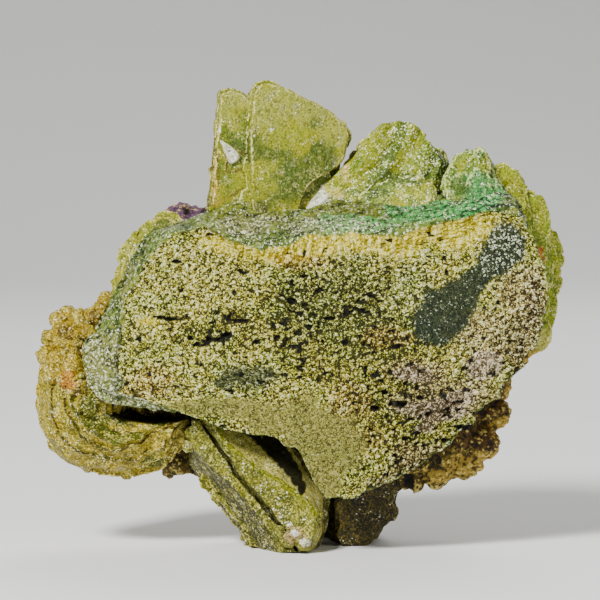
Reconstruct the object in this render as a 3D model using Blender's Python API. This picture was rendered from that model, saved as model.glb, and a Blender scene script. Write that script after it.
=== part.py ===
# A green heulandite specimen, 80 mm wide: sheaves of overlapping tabular crystals, grown on a
# knobbly piece of rock, behind the grainy crust that once lay against the wall of their cavity.
# The crust faces -Y, +Z is up, and the specimen stands on the flat cut under its lowest crystals.
import math

import bmesh
import bpy
import numpy as np
from mathutils import Matrix, Vector, noise

MM = 0.001

# Driving dimensions, in millimetres
WIDTH = 80.0
GAP = 0.3
CRUST_FRONT = -15.0
CRUST_BACK = -5.0
CRUST_BULGE = (0.0036, 0.0045)
CRUST_MIDDLE = (3.0, 31.0)
CRUST_SEGMENTS = (26, 18)
RIM_STEPS = (0.3, 0.65, 1.0)
RIM_WAVE = 0.9
GRAIN = 2.1
GRAIN_DEPTH = 0.55
LUMP = 6.5
ROCK_FRONT = CRUST_BACK + GAP
ROCK_WIDEST = 3.0
ROCK_BACK = 11.0
ROCK_MIDDLE = (3.0, 30.0)
ROCK_SEGMENTS = (15, 10)
ROCK_SQUARENESS = 2.6
ROCK_TAPER = 0.12
KNOB = 5.5
KNOB_DEPTH = 1.2
UNDERCUT = 9.0
UNDERCUT_TOP = 24.0
UNDERCUT_RIGHT = 9.0
UNDERCUT_BLEND = 10.0
CHAMFER = 0.5
PLATE_START = 1.5
PLATE_TAPER = 0.07
HAIR = 0.004

# The grainy face's edge and, point for point, the edge of the green band behind it
CRUST_FACE_EDGE = [
    (-27.9, 29.5), (-26.8, 37.5), (-23.7, 43.8), (-19.5, 47.8), (-14.8, 49.5), (-10.7, 47.2),
    (-6.2, 46.0), (-2.4, 46.4), (0.8, 48.2), (7.1, 48.4), (14.3, 47.8), (17.0, 49.2),
    (22.2, 50.2), (28.5, 51.8), (32.5, 50.7), (34.7, 46.8), (36.3, 42.6), (36.7, 38.0),
    (35.3, 33.0), (32.0, 28.2), (28.5, 23.8), (25.2, 19.8), (20.7, 15.6), (14.6, 11.7),
    (9.5, 9.6), (6.3, 8.5), (3.5, 8.4), (1.8, 10.6), (0.4, 13.9), (-1.2, 16.6),
    (-5.0, 17.8), (-9.5, 18.8), (-14.0, 20.0), (-18.5, 21.6), (-23.1, 23.2), (-27.4, 24.4),
]
CRUST_BAND_EDGE = [
    (-33.4, 30.6), (-29.4, 36.6), (-26.6, 42.8), (-22.6, 48.0), (-15.6, 50.8), (-12.4, 52.2),
    (-7.2, 50.6), (-2.9, 51.8), (2.0, 51.4), (8.1, 52.8), (14.3, 52.4), (18.2, 53.2),
    (23.2, 54.4), (29.0, 56.0), (32.2, 52.8), (34.3, 47.6), (35.6, 42.6), (35.8, 37.8),
    (34.3, 33.2), (31.0, 29.0), (27.3, 25.2), (23.8, 21.8), (19.4, 18.2), (13.8, 14.8),
    (9.6, 13.2), (7.2, 12.8), (5.6, 13.2), (4.4, 15.0), (2.6, 17.6), (-0.2, 20.0),
    (-4.6, 21.0), (-9.2, 21.8), (-14.2, 22.6), (-19.0, 22.8), (-24.6, 22.0), (-30.4, 23.6),
]

# The rock's outline where it is widest, seen from the front
ROCK_EDGE = [
    (-27.8, 30.0), (-27.2, 39.0), (-24.2, 46.2), (-19.8, 51.0), (-14.2, 51.4), (-8.2, 50.4),
    (0.0, 51.0), (8.0, 51.6), (16.0, 51.4), (24.0, 52.6), (30.2, 51.6), (34.0, 46.0),
    (36.0, 38.6), (35.4, 31.4), (32.8, 28.4), (30.4, 24.0), (29.0, 19.4), (27.4, 14.0),
    (24.6, 10.6), (18.8, 9.4), (13.4, 9.0), (7.4, 7.6), (0.4, 7.4), (-6.4, 8.2),
    (-13.0, 8.8), (-18.6, 10.6), (-23.0, 14.6), (-26.0, 20.6),
]

# Knobs on the rock's lower right edge and back: centre and radius
ROCK_KNOBS = [
    (31.8, -1.5, 29.4, 2.5), (29.4, -2.6, 24.8, 2.4), (28.8, -0.6, 20.4, 2.6), (27.0, -2.4, 16.4, 2.4),
    (24.2, -1.2, 12.8, 2.5), (20.4, -2.8, 11.4, 2.2), (16.6, -1.6, 10.6, 2.0), (-17.6, 0.6, 49.0, 2.4),
    (27.0, 5.0, 25.0, 3.8), (-19.6, 2.0, 13.4, 3.0), (10.0, 8.6, 17.0, 4.4),
]

# Each sheaf is a stack of plates. A plate is its outline as seen from the front, the depth of its
# middle, its thickness, and its turn about Z and lean about X through its middle, in degrees.
UPPER_LEFT_BLADE = [
    dict(outline=[(-14.4, 46.5), (-14.2, 56.0), (-13.2, 68.4), (-12.0, 69.4), (-9.4, 69.2),
                  (-7.7, 68.0), (-1.0, 66.4), (4.6, 60.4), (4.0, 53.2), (0.0, 46.5)],
         y=-2.4, thick=3.4, yaw=16, pitch=-4),
    dict(outline=[(-11.6, 46.5), (-11.0, 60.0), (-7.9, 68.2), (-7.3, 69.6), (-6.0, 70.5),
                  (-3.6, 70.2), (-1.8, 68.9), (2.4, 67.0), (5.2, 65.2), (7.4, 64.2),
                  (8.2, 62.8), (6.8, 60.4), (5.6, 57.0), (2.6, 51.0), (0.0, 46.5)],
         y=0.2, thick=3.6, yaw=13, pitch=-2),
    dict(outline=[(-12.8, 46.5), (-13.4, 54.0), (-13.6, 58.6), (-12.8, 60.6), (-6.0, 64.6),
                  (3.2, 63.4), (6.7, 59.6), (5.6, 54.0), (2.0, 46.5)],
         y=3.2, thick=3.8, yaw=12, pitch=2),
    dict(outline=[(-11.0, 46.5), (-12.0, 56.0), (-9.0, 62.0), (-2.0, 66.0), (4.0, 63.0),
                  (3.0, 54.0), (-1.0, 46.5)],
         y=6.4, thick=3.2, yaw=8, pitch=8),
]
UPPER_MIDDLE_FAN = [
    dict(outline=[(-1.6, 47.0), (2.2, 52.8), (5.4, 56.4), (8.6, 59.0), (13.6, 59.4),
                  (17.6, 57.6), (20.4, 54.2), (18.0, 47.0)],
         y=-3.0, thick=2.8, yaw=-6, pitch=-16),
    dict(outline=[(1.4, 47.0), (4.9, 56.0), (7.2, 59.4), (8.8, 62.2), (10.8, 63.7), (13.6, 64.5),
                  (15.6, 64.4), (17.9, 63.4), (19.2, 61.6), (20.3, 58.0), (18.0, 47.0)],
         y=-0.2, thick=3.2, yaw=-4, pitch=-8),
    dict(outline=[(9.0, 47.0), (11.6, 57.0), (16.6, 60.2), (20.4, 61.3), (21.9, 59.8),
                  (22.6, 57.0), (21.8, 53.0), (19.0, 47.0)],
         y=2.6, thick=3.0, yaw=-10, pitch=-4),
    dict(outline=[(2.4, 47.0), (5.0, 57.0), (9.4, 61.6), (14.8, 62.6), (18.6, 59.0), (18.0, 47.0)],
         y=5.4, thick=3.2, yaw=4, pitch=8),
]
UPPER_RIGHT_BLADES = [
    dict(outline=[(20.4, 49.0), (20.9, 56.4), (22.2, 58.4), (23.8, 59.8), (26.0, 60.2),
                  (28.4, 57.6), (31.0, 52.6), (30.0, 49.0)],
         y=-5.0, thick=2.8, yaw=-12, pitch=-14),
    dict(outline=[(24.2, 49.0), (24.8, 57.0), (25.6, 59.4), (26.6, 60.3), (27.8, 59.4),
                  (29.8, 56.8), (31.6, 53.0), (30.6, 49.0)],
         y=-2.4, thick=3.0, yaw=-24, pitch=-6),
]
RIGHT_FAN = [
    dict(outline=[(26.0, 44.0), (27.6, 56.8), (29.6, 57.8), (32.0, 57.6), (33.4, 56.4),
                  (34.2, 54.2), (35.2, 48.0), (34.0, 38.0), (28.0, 38.0)],
         y=1.4, thick=2.6, yaw=22, pitch=4),
    dict(outline=[(27.0, 36.0), (29.4, 50.0), (33.2, 53.8), (35.8, 53.6), (37.1, 51.9),
                  (38.5, 48.6), (39.2, 40.0), (36.4, 33.0), (30.0, 32.0)],
         y=3.6, thick=2.8, yaw=18, pitch=2),
    dict(outline=[(27.0, 32.0), (30.0, 45.0), (37.0, 49.7), (39.6, 46.8), (40.8, 43.2),
                  (40.4, 40.2), (39.9, 37.4), (39.1, 34.4), (38.0, 31.2), (35.8, 28.6), (31.0, 28.2)],
         y=6.2, thick=2.8, yaw=14, pitch=0),
    dict(outline=[(28.0, 34.0), (29.0, 51.0), (33.0, 53.8), (37.0, 49.0), (38.6, 41.0), (34.0, 32.6)],
         y=9.0, thick=3.0, yaw=6, pitch=-6),
]
LEFT_RIM_BLADE = [
    dict(outline=[(-28.7, 36.8), (-29.2, 39.4), (-28.6, 42.8), (-27.7, 45.6), (-25.0, 48.6),
                  (-22.4, 50.5), (-20.1, 51.2), (-17.0, 49.0), (-18.0, 37.0)],
         y=-2.6, thick=2.8, yaw=-14, pitch=-6),
    dict(outline=[(-27.6, 34.0), (-28.0, 39.0), (-27.2, 43.8), (-24.0, 47.2), (-20.0, 48.6), (-17.0, 36.0)],
         y=0.4, thick=3.4, yaw=-10, pitch=4),
]
LEFT_SHEAF = [
    dict(outline=[(-37.8, 20.6), (-37.0, 27.0), (-34.6, 29.6), (-31.4, 28.6), (-28.0, 23.6),
                  (-23.4, 17.4), (-18.8, 17.2), (-20.4, 15.0), (-24.6, 13.4), (-29.0, 13.2),
                  (-33.2, 14.8), (-36.4, 17.2)],
         y=-8.2, thick=3.6, yaw=-12, pitch=14),
    dict(outline=[(-39.2, 19.8), (-38.7, 27.2), (-37.0, 30.2), (-32.4, 31.4), (-28.8, 27.4),
                  (-23.4, 17.8), (-17.4, 18.0), (-18.4, 15.2), (-21.4, 12.6), (-25.0, 11.4),
                  (-29.2, 11.4), (-33.2, 13.8), (-36.8, 16.2)],
         y=-5.0, thick=4.0, yaw=-10, pitch=10),
    dict(outline=[(-40.2, 22.8), (-39.9, 27.6), (-38.6, 30.4), (-36.9, 31.7), (-37.8, 33.8),
                  (-36.6, 35.8), (-33.4, 35.8), (-29.0, 31.0), (-24.0, 17.8), (-18.6, 17.6),
                  (-19.8, 13.4), (-24.6, 10.8), (-29.0, 10.3), (-33.4, 12.6), (-37.5, 15.3), (-39.8, 18.6)],
         y=-1.2, thick=4.6, yaw=-6, pitch=6),
    dict(outline=[(-38.6, 20.0), (-37.8, 29.6), (-35.4, 34.2), (-32.0, 35.8), (-29.0, 38.6),
                  (-25.0, 37.0), (-22.0, 18.0), (-17.4, 16.4), (-20.4, 12.2), (-28.0, 11.4), (-34.0, 14.0)],
         y=3.2, thick=4.6, yaw=4, pitch=0),
    dict(outline=[(-36.6, 19.0), (-36.2, 28.0), (-32.4, 33.4), (-26.0, 34.6), (-21.0, 20.0),
                  (-19.0, 13.6), (-26.0, 12.8), (-32.4, 14.6)],
         y=7.2, thick=4.0, yaw=14, pitch=-8),
]
LOWER_BLADE = [
    dict(outline=[(-17.5, 18.6), (-15.6, 19.8), (-13.0, 18.6), (-5.6, 11.6), (1.8, 4.2), (3.8, 0.9),
                  (3.0, -2.0), (-3.0, -2.0), (-10.8, 6.4), (-14.8, 12.2)],
         y=-9.6, thick=3.0, yaw=20, pitch=10),
    dict(outline=[(-18.0, 15.4), (-16.2, 19.4), (-13.2, 19.4), (-9.5, 17.6), (-6.2, 15.7),
                  (-0.6, 11.8), (3.0, 7.4), (4.2, 3.8), (3.0, -2.0), (-5.0, -2.0), (-13.0, 6.2), (-17.5, 11.3)],
         y=-6.2, thick=4.2, yaw=14, pitch=16),
    dict(outline=[(-13.4, 18.6), (-9.6, 19.6), (-3.0, 17.8), (2.0, 15.0), (4.6, 9.6), (4.0, 3.0), (-6.0, 9.0)],
         y=-3.4, thick=3.4, yaw=10, pitch=-34),
    dict(outline=[(-17.0, 11.2), (-12.0, 15.0), (-2.0, 10.0), (3.6, 3.0), (2.4, -2.0), (-8.6, -2.0),
                  (-9.2, 1.0), (-11.6, 4.6), (-14.6, 7.6)],
         y=-2.0, thick=4.8, yaw=6, pitch=6),
    dict(outline=[(-14.8, 12.0), (-6.0, 14.0), (3.0, 6.0), (2.0, -2.0), (-8.0, -2.0), (-10.6, 3.0), (-14.0, 7.0)],
         y=2.8, thick=5.4, yaw=-4, pitch=-4),
]
REAR_FOOT = [
    dict(outline=[(3.6, 12.0), (11.2, 12.2), (15.0, 11.6), (15.2, 8.8), (14.2, 6.8), (14.6, 4.4),
                  (13.0, 2.0), (9.8, -2.0), (4.8, -2.0)],
         y=1.0, thick=5.0, yaw=10, pitch=6),
    dict(outline=[(4.4, 12.4), (12.0, 13.0), (14.6, 9.0), (13.2, 3.0), (10.4, -2.0), (3.6, -2.0)],
         y=6.2, thick=5.8, yaw=-6, pitch=-4),
    dict(outline=[(2.4, 13.0), (9.0, 15.0), (12.6, 10.0), (11.6, 2.0), (8.6, -2.0), (0.6, -2.0)],
         y=12.0, thick=6.4, yaw=-14, pitch=-10),
]

# A back sheaf is a fan of coffin-shaped plates on edge. root is the foot of the line that they fan
# about, heading is where the fan points, from +X, and lean and roll tip it. turns spread the plates.
BACK_SHEAVES = {
    "back_left_sheaf": dict(root=(-14.0, 4.5, 20.0), heading=112, lean=-8, roll=14,
                            reach=19.0, height=28.0, thick=4.4, turns=[-40, -18, 6, 30]),
    "back_right_sheaf": dict(root=(19.0, 4.0, 22.0), heading=70, lean=-8, roll=-14,
                             reach=18.0, height=28.0, thick=4.2, turns=[-34, -12, 12, 36]),
    "back_upper_sheaf": dict(root=(13.0, 4.0, 44.0), heading=94, lean=-26, roll=-84,
                             reach=15.0, height=25.0, thick=3.8, turns=[-30, -6, 18]),
    "back_low_sheaf": dict(root=(1.0, 5.0, 13.0), heading=86, lean=10, roll=6,
                           reach=16.0, height=18.0, thick=4.0, turns=[-28, -4, 20]),
    "back_outer_sheaf": dict(root=(22.0, 3.0, 12.6), heading=62, lean=4, roll=-18,
                             reach=12.0, height=15.0, thick=3.2, turns=[-26, -2, 24]),
    "back_middle_sheaf": dict(root=(1.5, 4.5, 26.0), heading=92, lean=-14, roll=4,
                              reach=15.0, height=19.0, thick=3.4, turns=[-16, 8]),
}
COFFIN = [(-0.5, 0.0), (-0.47, 0.5), (-0.28, 0.86), (0.0, 1.0), (0.26, 0.9), (0.46, 0.56), (0.5, 0.0)]

FRONT_SHEAVES = {
    "upper_left_blade": ("olive_crystal", UPPER_LEFT_BLADE),
    "upper_middle_fan": ("olive_crystal", UPPER_MIDDLE_FAN),
    "upper_right_blades": ("green_crystal", UPPER_RIGHT_BLADES),
    "right_fan": ("olive_crystal", RIGHT_FAN),
    "left_rim_blade": ("olive_crystal", LEFT_RIM_BLADE),
    "left_sheaf": ("yellow_crystal", LEFT_SHEAF),
    "lower_blade": ("olive_crystal", LOWER_BLADE),
    "rear_foot": ("olive_crystal", REAR_FOOT),
}
FEET = ("lower_blade", "rear_foot")

# Base colour and roughness of each material
FINISHES = {
    "crust": ((0.62, 0.60, 0.34), 0.8),
    "rock": ((0.34, 0.27, 0.15), 0.85),
    "olive_crystal": ((0.38, 0.42, 0.12), 0.35),
    "yellow_crystal": ((0.55, 0.45, 0.12), 0.45),
    "green_crystal": ((0.22, 0.36, 0.16), 0.4),
}


def clear_scene():
    for obj in list(bpy.data.objects):
        bpy.data.objects.remove(obj)


def new_collection(name):
    collection = bpy.data.collections.new(name)
    bpy.context.scene.collection.children.link(collection)
    return collection


def mineral(name):
    colour, roughness = FINISHES[name]
    material = bpy.data.materials.new(name)
    material.use_nodes = True
    shader = material.node_tree.nodes["Principled BSDF"]
    shader.inputs["Base Color"].default_value = (*colour, 1.0)
    shader.inputs["Roughness"].default_value = roughness
    shader.inputs["Metallic"].default_value = 0.0
    return material


def evaluated_mesh(obj):
    bpy.context.view_layer.update()
    graph = bpy.context.evaluated_depsgraph_get()
    return bpy.data.meshes.new_from_object(obj.evaluated_get(graph))


def boolean(obj, others, operation):
    """Joins others to obj, or cuts them from it, and leaves obj as a plain mesh."""
    if not others:
        return
    group = new_collection("operands")
    for other in others:
        group.objects.link(other)
    modifier = obj.modifiers.new(operation, "BOOLEAN")
    modifier.operation = operation
    modifier.solver = "EXACT"
    modifier.use_self = True
    modifier.operand_type = "COLLECTION"
    modifier.collection = group
    mesh = evaluated_mesh(obj)
    obj.modifiers.clear()
    obj.data = mesh
    bpy.data.collections.remove(group)


def discard(objects):
    for obj in objects:
        bpy.data.objects.remove(obj)


def close_seams(mesh):
    """Makes one corner of those that lie within a hair of each other, and fills what that opens."""
    shape = bmesh.new()
    shape.from_mesh(mesh)
    bmesh.ops.remove_doubles(shape, verts=shape.verts, dist=HAIR * MM)
    bmesh.ops.holes_fill(shape, edges=shape.edges, sides=4)
    bmesh.ops.triangulate(shape, faces=[face for face in shape.faces if len(face.verts) > 4])
    shape.to_mesh(mesh)
    shape.free()


def keep_largest(mesh):
    """Drops the crumbs that a cut leaves, and keeps the one body that matters."""
    shape = bmesh.new()
    shape.from_mesh(mesh)
    left = set(shape.verts)
    bodies = []
    while left:
        body = set()
        front = [left.pop()]
        while front:
            vert = front.pop()
            body.add(vert)
            for edge in vert.link_edges:
                other = edge.other_vert(vert)
                if other in left:
                    left.remove(other)
                    front.append(other)
        bodies.append(body)
    bodies.sort(key=len, reverse=True)
    crumbs = [vert for body in bodies[1:] for vert in body]
    bmesh.ops.delete(shape, geom=crumbs, context="VERTS")
    shape.to_mesh(mesh)
    shape.free()


def grown(obj, collection, distance):
    """A wire copy of obj, larger all round by distance, to cut its neighbours with."""
    copy = bpy.data.objects.new(obj.name + "_clearance", obj.data.copy())
    collection.objects.link(copy)
    copy.matrix_world = obj.matrix_world.copy()
    copy.hide_render = True
    copy.display_type = "WIRE"
    for vert in copy.data.vertices:
        vert.co += vert.normal * distance * MM
    return copy


def box(obj):
    """The lowest and highest corners of obj, in metres."""
    points = np.array([obj.matrix_world @ vert.co for vert in obj.data.vertices])
    return points.min(0), points.max(0)


def meets(first, second):
    """Whether the boxes of two objects overlap."""
    (low1, high1), (low2, high2) = box(first), box(second)
    return bool((low1 < high2).all() and (low2 < high1).all())


def finer(points, parts):
    """The closed outline with each side cut into equal parts."""
    points = np.array(points)
    following = np.roll(points, -1, axis=0)
    steps = np.arange(parts)[:, None, None] / parts
    cut = points[None] * (1 - steps) + following[None] * steps
    return cut.transpose(1, 0, 2).reshape(-1, 2)


def on_edge(points, angle, middle, first):
    """The points of an outline at the angles where its first, star-shaped, outline has them."""
    first = finer(first, 8)
    points = finer(points, 8)
    angles = np.arctan2(first[:, 1] - middle[1], first[:, 0] - middle[0])
    order = np.argsort(angles)
    angles = angles[order]
    x = np.interp(angle, angles, points[order, 0], period=2 * math.pi)
    z = np.interp(angle, angles, points[order, 1], period=2 * math.pi)
    return x, z


def slab(name, segments, surface, rim, steps, collection):
    """A grid bent to a round-cornered sheet, walled by loops and closed by one flat face.

    surface(angle, radius) places the sheet's points, with radius 1 on its edge, and
    rim(angle, share) places those of the walls, with share 1 on the flat face.
    """
    shape = bmesh.new()
    turn = shape.verts.layers.float.new("turn")
    bmesh.ops.create_grid(shape, x_segments=segments[0], y_segments=segments[1], size=1.0)
    for vert in shape.verts:
        u, v = vert.co.x, vert.co.y
        across = u * math.sqrt(1 - v * v / 2)
        up = v * math.sqrt(1 - u * u / 2)
        vert[turn] = math.atan2(up, across)
        vert.co = surface(vert[turn], math.hypot(across, up)) * MM
    edges = [edge for edge in shape.edges if edge.is_boundary]
    for step in steps:
        made = bmesh.ops.extrude_edge_only(shape, edges=edges)["geom"]
        for vert in (item for item in made if isinstance(item, bmesh.types.BMVert)):
            vert.co = rim(vert[turn], step) * MM
        edges = [item for item in made if isinstance(item, bmesh.types.BMEdge) and item.is_boundary]
    bmesh.ops.contextual_create(shape, geom=edges)
    bmesh.ops.triangulate(shape, faces=shape.faces)
    bmesh.ops.recalc_face_normals(shape, faces=shape.faces)
    mesh = bpy.data.meshes.new(name)
    shape.to_mesh(mesh)
    shape.free()
    obj = bpy.data.objects.new(name, mesh)
    collection.objects.link(obj)
    return obj


def face_depth(x, z):
    """The depth of the crust's face, in mm: a low dome that falls away towards its edge."""
    across = CRUST_BULGE[0] * (x - CRUST_MIDDLE[0]) ** 2
    up = CRUST_BULGE[1] * (z - CRUST_MIDDLE[1]) ** 2
    return CRUST_FRONT + across + up


def crust_surface(angle, radius):
    x, z = on_edge(CRUST_FACE_EDGE, angle, CRUST_MIDDLE, CRUST_FACE_EDGE)
    x = CRUST_MIDDLE[0] + (x - CRUST_MIDDLE[0]) * radius
    z = CRUST_MIDDLE[1] + (z - CRUST_MIDDLE[1]) * radius
    flat = Vector((x, 0.0, z))
    grain = noise.noise(flat / GRAIN) + 0.8 * noise.noise(flat / LUMP)
    return Vector((x, face_depth(x, z) + GRAIN_DEPTH * grain, z))


def crust_rim(angle, share):
    x0, z0 = on_edge(CRUST_FACE_EDGE, angle, CRUST_MIDDLE, CRUST_FACE_EDGE)
    x1, z1 = on_edge(CRUST_BAND_EDGE, angle, CRUST_MIDDLE, CRUST_FACE_EDGE)
    first = Vector((x0, face_depth(x0, z0), z0))
    last = Vector((x1, CRUST_BACK, z1))
    place = first.lerp(last, share)
    wave = RIM_WAVE * noise.noise(place / GRAIN) * (1 - share)
    return place + Vector((wave, 0.0, wave))


def clamped(value):
    return min(1.0, max(0.0, value))


def rock_place(angle, radius, depth):
    """A point of the rock, knobbly, and hollowed under the crust's lower left edge."""
    x, z = on_edge(ROCK_EDGE, angle, ROCK_MIDDLE, ROCK_EDGE)
    forward = clamped((ROCK_WIDEST - depth) / (ROCK_WIDEST - ROCK_FRONT))
    low = clamped((UNDERCUT_TOP - z) / UNDERCUT_BLEND)
    left = clamped((UNDERCUT_RIGHT - x) / UNDERCUT_BLEND)
    z += UNDERCUT * forward * low * left
    out = Vector((x - ROCK_MIDDLE[0], 0.0, z - ROCK_MIDDLE[1])) * radius
    place = Vector((ROCK_MIDDLE[0], depth, ROCK_MIDDLE[1])) + out
    knob = KNOB_DEPTH * (noise.noise(place / KNOB) + 0.5 * noise.noise(place / (0.4 * KNOB)))
    return place, out, knob


def rock_surface(angle, radius):
    depth = ROCK_WIDEST + (ROCK_BACK - ROCK_WIDEST) * math.sqrt(clamped(1 - radius ** ROCK_SQUARENESS))
    place, _, knob = rock_place(angle, radius, depth)
    return place + Vector((0.0, knob, 0.0))


def rock_rim(angle, share):
    depth = ROCK_WIDEST + (ROCK_FRONT - ROCK_WIDEST) * share
    place, out, knob = rock_place(angle, 1.0 - ROCK_TAPER * share ** 2, depth)
    return place + out.normalized() * knob


def make_rock_parts(collection):
    """The rock's body and the knobs that stand on it, still apart."""
    parts = [slab("rock_body", ROCK_SEGMENTS, rock_surface, rock_rim, RIM_STEPS, collection)]
    for x, y, z, radius in ROCK_KNOBS:
        shape = bmesh.new()
        bmesh.ops.create_icosphere(shape, subdivisions=2, radius=radius * MM)
        middle = Vector((x, y, z))
        for vert in shape.verts:
            vert.co *= 1.0 + 0.35 * noise.noise(vert.co / (0.6 * radius * MM) + middle)
            vert.co += middle * MM
        mesh = bpy.data.meshes.new("knob")
        shape.to_mesh(mesh)
        shape.free()
        parts.append(bpy.data.objects.new("knob", mesh))
        collection.objects.link(parts[-1])
    return parts


def plate_solid(points, thick, place, collection):
    """A flat outline in its own XY plane, given a thickness and chamfered edges, then placed."""
    curve = bpy.data.curves.new("plate", "CURVE")
    curve.dimensions = "2D"
    curve.fill_mode = "BOTH"
    curve.extrude = (thick / 2 - CHAMFER) * MM
    curve.bevel_depth = CHAMFER * MM
    curve.bevel_resolution = 0
    curve.offset = -CHAMFER * MM
    spline = curve.splines.new("POLY")
    spline.points.add(len(points) - 1)
    for point, (u, v) in zip(spline.points, points):
        point.co = (u * MM, v * MM, 0.0, 1.0)
    spline.use_cyclic_u = True
    guide = bpy.data.objects.new("plate_curve", curve)
    collection.objects.link(guide)
    mesh = evaluated_mesh(guide)
    close_seams(mesh)
    bpy.data.objects.remove(guide)
    plate = bpy.data.objects.new("plate", mesh)
    collection.objects.link(plate)
    plate.data.transform(place)
    return plate


def front_plate(spec, collection):
    """A plate that faces the front, turned about its own middle."""
    outline = np.array(spec["outline"])
    middle = (outline.min(0) + outline.max(0)) / 2
    place = (
        Matrix.Translation(Vector((middle[0], spec["y"], middle[1])) * MM)
        @ Matrix.Rotation(math.radians(spec["yaw"]), 4, "Z")
        @ Matrix.Rotation(math.radians(90 + spec["pitch"]), 4, "X")
    )
    return plate_solid(outline - middle, spec["thick"], place, collection)


def back_plates(spec, collection):
    """Coffin-shaped plates on edge, fanned about a line, each starting a little further behind it."""
    plates = []
    for i, turn in enumerate(spec["turns"]):
        size = 1.0 - PLATE_TAPER * abs(i - 1.3)
        start = -PLATE_START * (1 + 0.25 * i)
        points = [(start + v * (spec["reach"] * size - start), (u + 0.5) * spec["height"] * size)
                  for u, v in COFFIN]
        place = (
            Matrix.Translation(Vector(spec["root"]) * MM)
            @ Matrix.Rotation(math.radians(spec["heading"]), 4, "Z")
            @ Matrix.Rotation(math.radians(spec["lean"]), 4, "Y")
            @ Matrix.Rotation(math.radians(spec["roll"]), 4, "X")
            @ Matrix.Rotation(math.radians(turn), 4, "Z")
            @ Matrix.Rotation(math.radians(90), 4, "X")
        )
        plates.append(plate_solid(points, spec["thick"], place, collection))
    return plates


def joined(name, parts, material, collection):
    """The parts of one piece, as one solid."""
    piece = bpy.data.objects.new(name, parts[0].data.copy())
    collection.objects.link(piece)
    boolean(piece, parts[1:], "UNION")
    piece.data.materials.clear()
    piece.data.materials.append(material)
    return piece


def cut_flat_below(obj, level):
    """Cuts off whatever of obj lies under a level, so that it can stand there."""
    depth = 20.0
    bpy.ops.mesh.primitive_cube_add(size=1.0)
    block = bpy.context.object
    block.name = "floor_cutter"
    block.scale = (3 * WIDTH * MM, 3 * WIDTH * MM, depth * MM)
    block.location = (0.0, 0.0, (level - depth / 2) * MM)
    boolean(obj, [block], "DIFFERENCE")
    bpy.data.objects.remove(block)


def main():
    clear_scene()
    specimen = new_collection("heulandite")
    helpers = new_collection("cutters")
    materials = {name: mineral(name) for name in FINISHES}

    crust = slab("face", CRUST_SEGMENTS, crust_surface, crust_rim, RIM_STEPS, helpers)
    pieces = [("crust", [crust], "crust"), ("rock", make_rock_parts(helpers), "rock")]
    for name, (colour, specs) in FRONT_SHEAVES.items():
        pieces.append((name, [front_plate(spec, helpers) for spec in specs], colour))
    for name, spec in BACK_SHEAVES.items():
        pieces.append((name, back_plates(spec, helpers), "olive_crystal"))

    cutters = []
    for name, parts, colour in pieces:
        piece = joined(name, parts, materials[colour], specimen)
        if name in FEET:
            cut_flat_below(piece, 0.0)
        if name != "rock":
            boolean(piece, [cutter for cutter in cutters if meets(piece, cutter)], "DIFFERENCE")
        close_seams(piece.data)
        keep_largest(piece.data)
        cutters += [grown(part, helpers, GAP) for part in parts]
        discard(parts)
    discard(cutters)


main()
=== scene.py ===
import itertools
import math

import bmesh
import bpy
import numpy as np
from mathutils import Matrix, Vector


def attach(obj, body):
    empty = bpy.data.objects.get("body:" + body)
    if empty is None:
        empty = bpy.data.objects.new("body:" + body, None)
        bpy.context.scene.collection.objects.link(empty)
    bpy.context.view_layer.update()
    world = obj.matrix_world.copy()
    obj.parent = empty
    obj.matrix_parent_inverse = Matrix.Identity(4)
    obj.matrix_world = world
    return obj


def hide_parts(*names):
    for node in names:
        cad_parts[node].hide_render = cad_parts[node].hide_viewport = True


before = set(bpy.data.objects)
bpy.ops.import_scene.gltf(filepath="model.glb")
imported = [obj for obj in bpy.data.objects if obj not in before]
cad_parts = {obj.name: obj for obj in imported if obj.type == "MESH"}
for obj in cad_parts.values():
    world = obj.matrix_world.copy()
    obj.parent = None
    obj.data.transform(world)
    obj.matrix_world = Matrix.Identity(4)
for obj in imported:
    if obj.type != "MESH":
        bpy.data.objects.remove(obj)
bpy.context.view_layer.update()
mm = 0.001

# The camera, also used to turn a pixel of the 600 by 600 picture into a place on the object
camera = {"distance": 600.0, "elevation": 4.0, "target": (-0.45, -4.0, 37.75), "span": 90.6, "picture": 600}


def fromPicture(px, py, depth):              # similar triangles: a pixel's x and z at a given depth
    tx, ty, tz = camera["target"]
    step = camera["span"] / camera["picture"] * (camera["distance"] + depth - ty) / camera["distance"]
    middle = camera["picture"] / 2
    drop = (depth - ty) * math.tan(math.radians(camera["elevation"]))
    return tx + (px - middle) * step, tz - (py - middle) * step - drop


# Noise on whole arrays of points

latticeSide = 64
lattice = np.random.default_rng(11).random((latticeSide,) * 3) * 2 - 1
jitter = np.random.default_rng(12).random((latticeSide,) * 3 + (4,))


def smoothStep(low, high, value):            # 0 below low, 1 above high, a smooth S between them
    share = np.clip((value - low) / (high - low), 0, 1)
    return share * share * (3 - 2 * share)


def cloud(points, size, seed=0):             # random lattice values, blended over the eight nearest: -1 to 1
    place = points / size + seed * 7.31
    whole = np.floor(place).astype(int)
    part = place - whole
    part = part * part * (3 - 2 * part)
    total = np.zeros(place.shape[:-1])
    for corner in itertools.product((0, 1), repeat=3):
        index = (whole + corner) % latticeSide
        weight = np.prod(np.where(corner, part, 1 - part), axis=-1)
        total += weight * lattice[index[..., 0], index[..., 1], index[..., 2]]
    return total


def billow(points, size, seed=0, octaves=3):  # clouds of halving size and weight, added up
    return sum(cloud(points, size / 2 ** i, seed + i) / 2 ** i for i in range(octaves)) / 1.6


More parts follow.
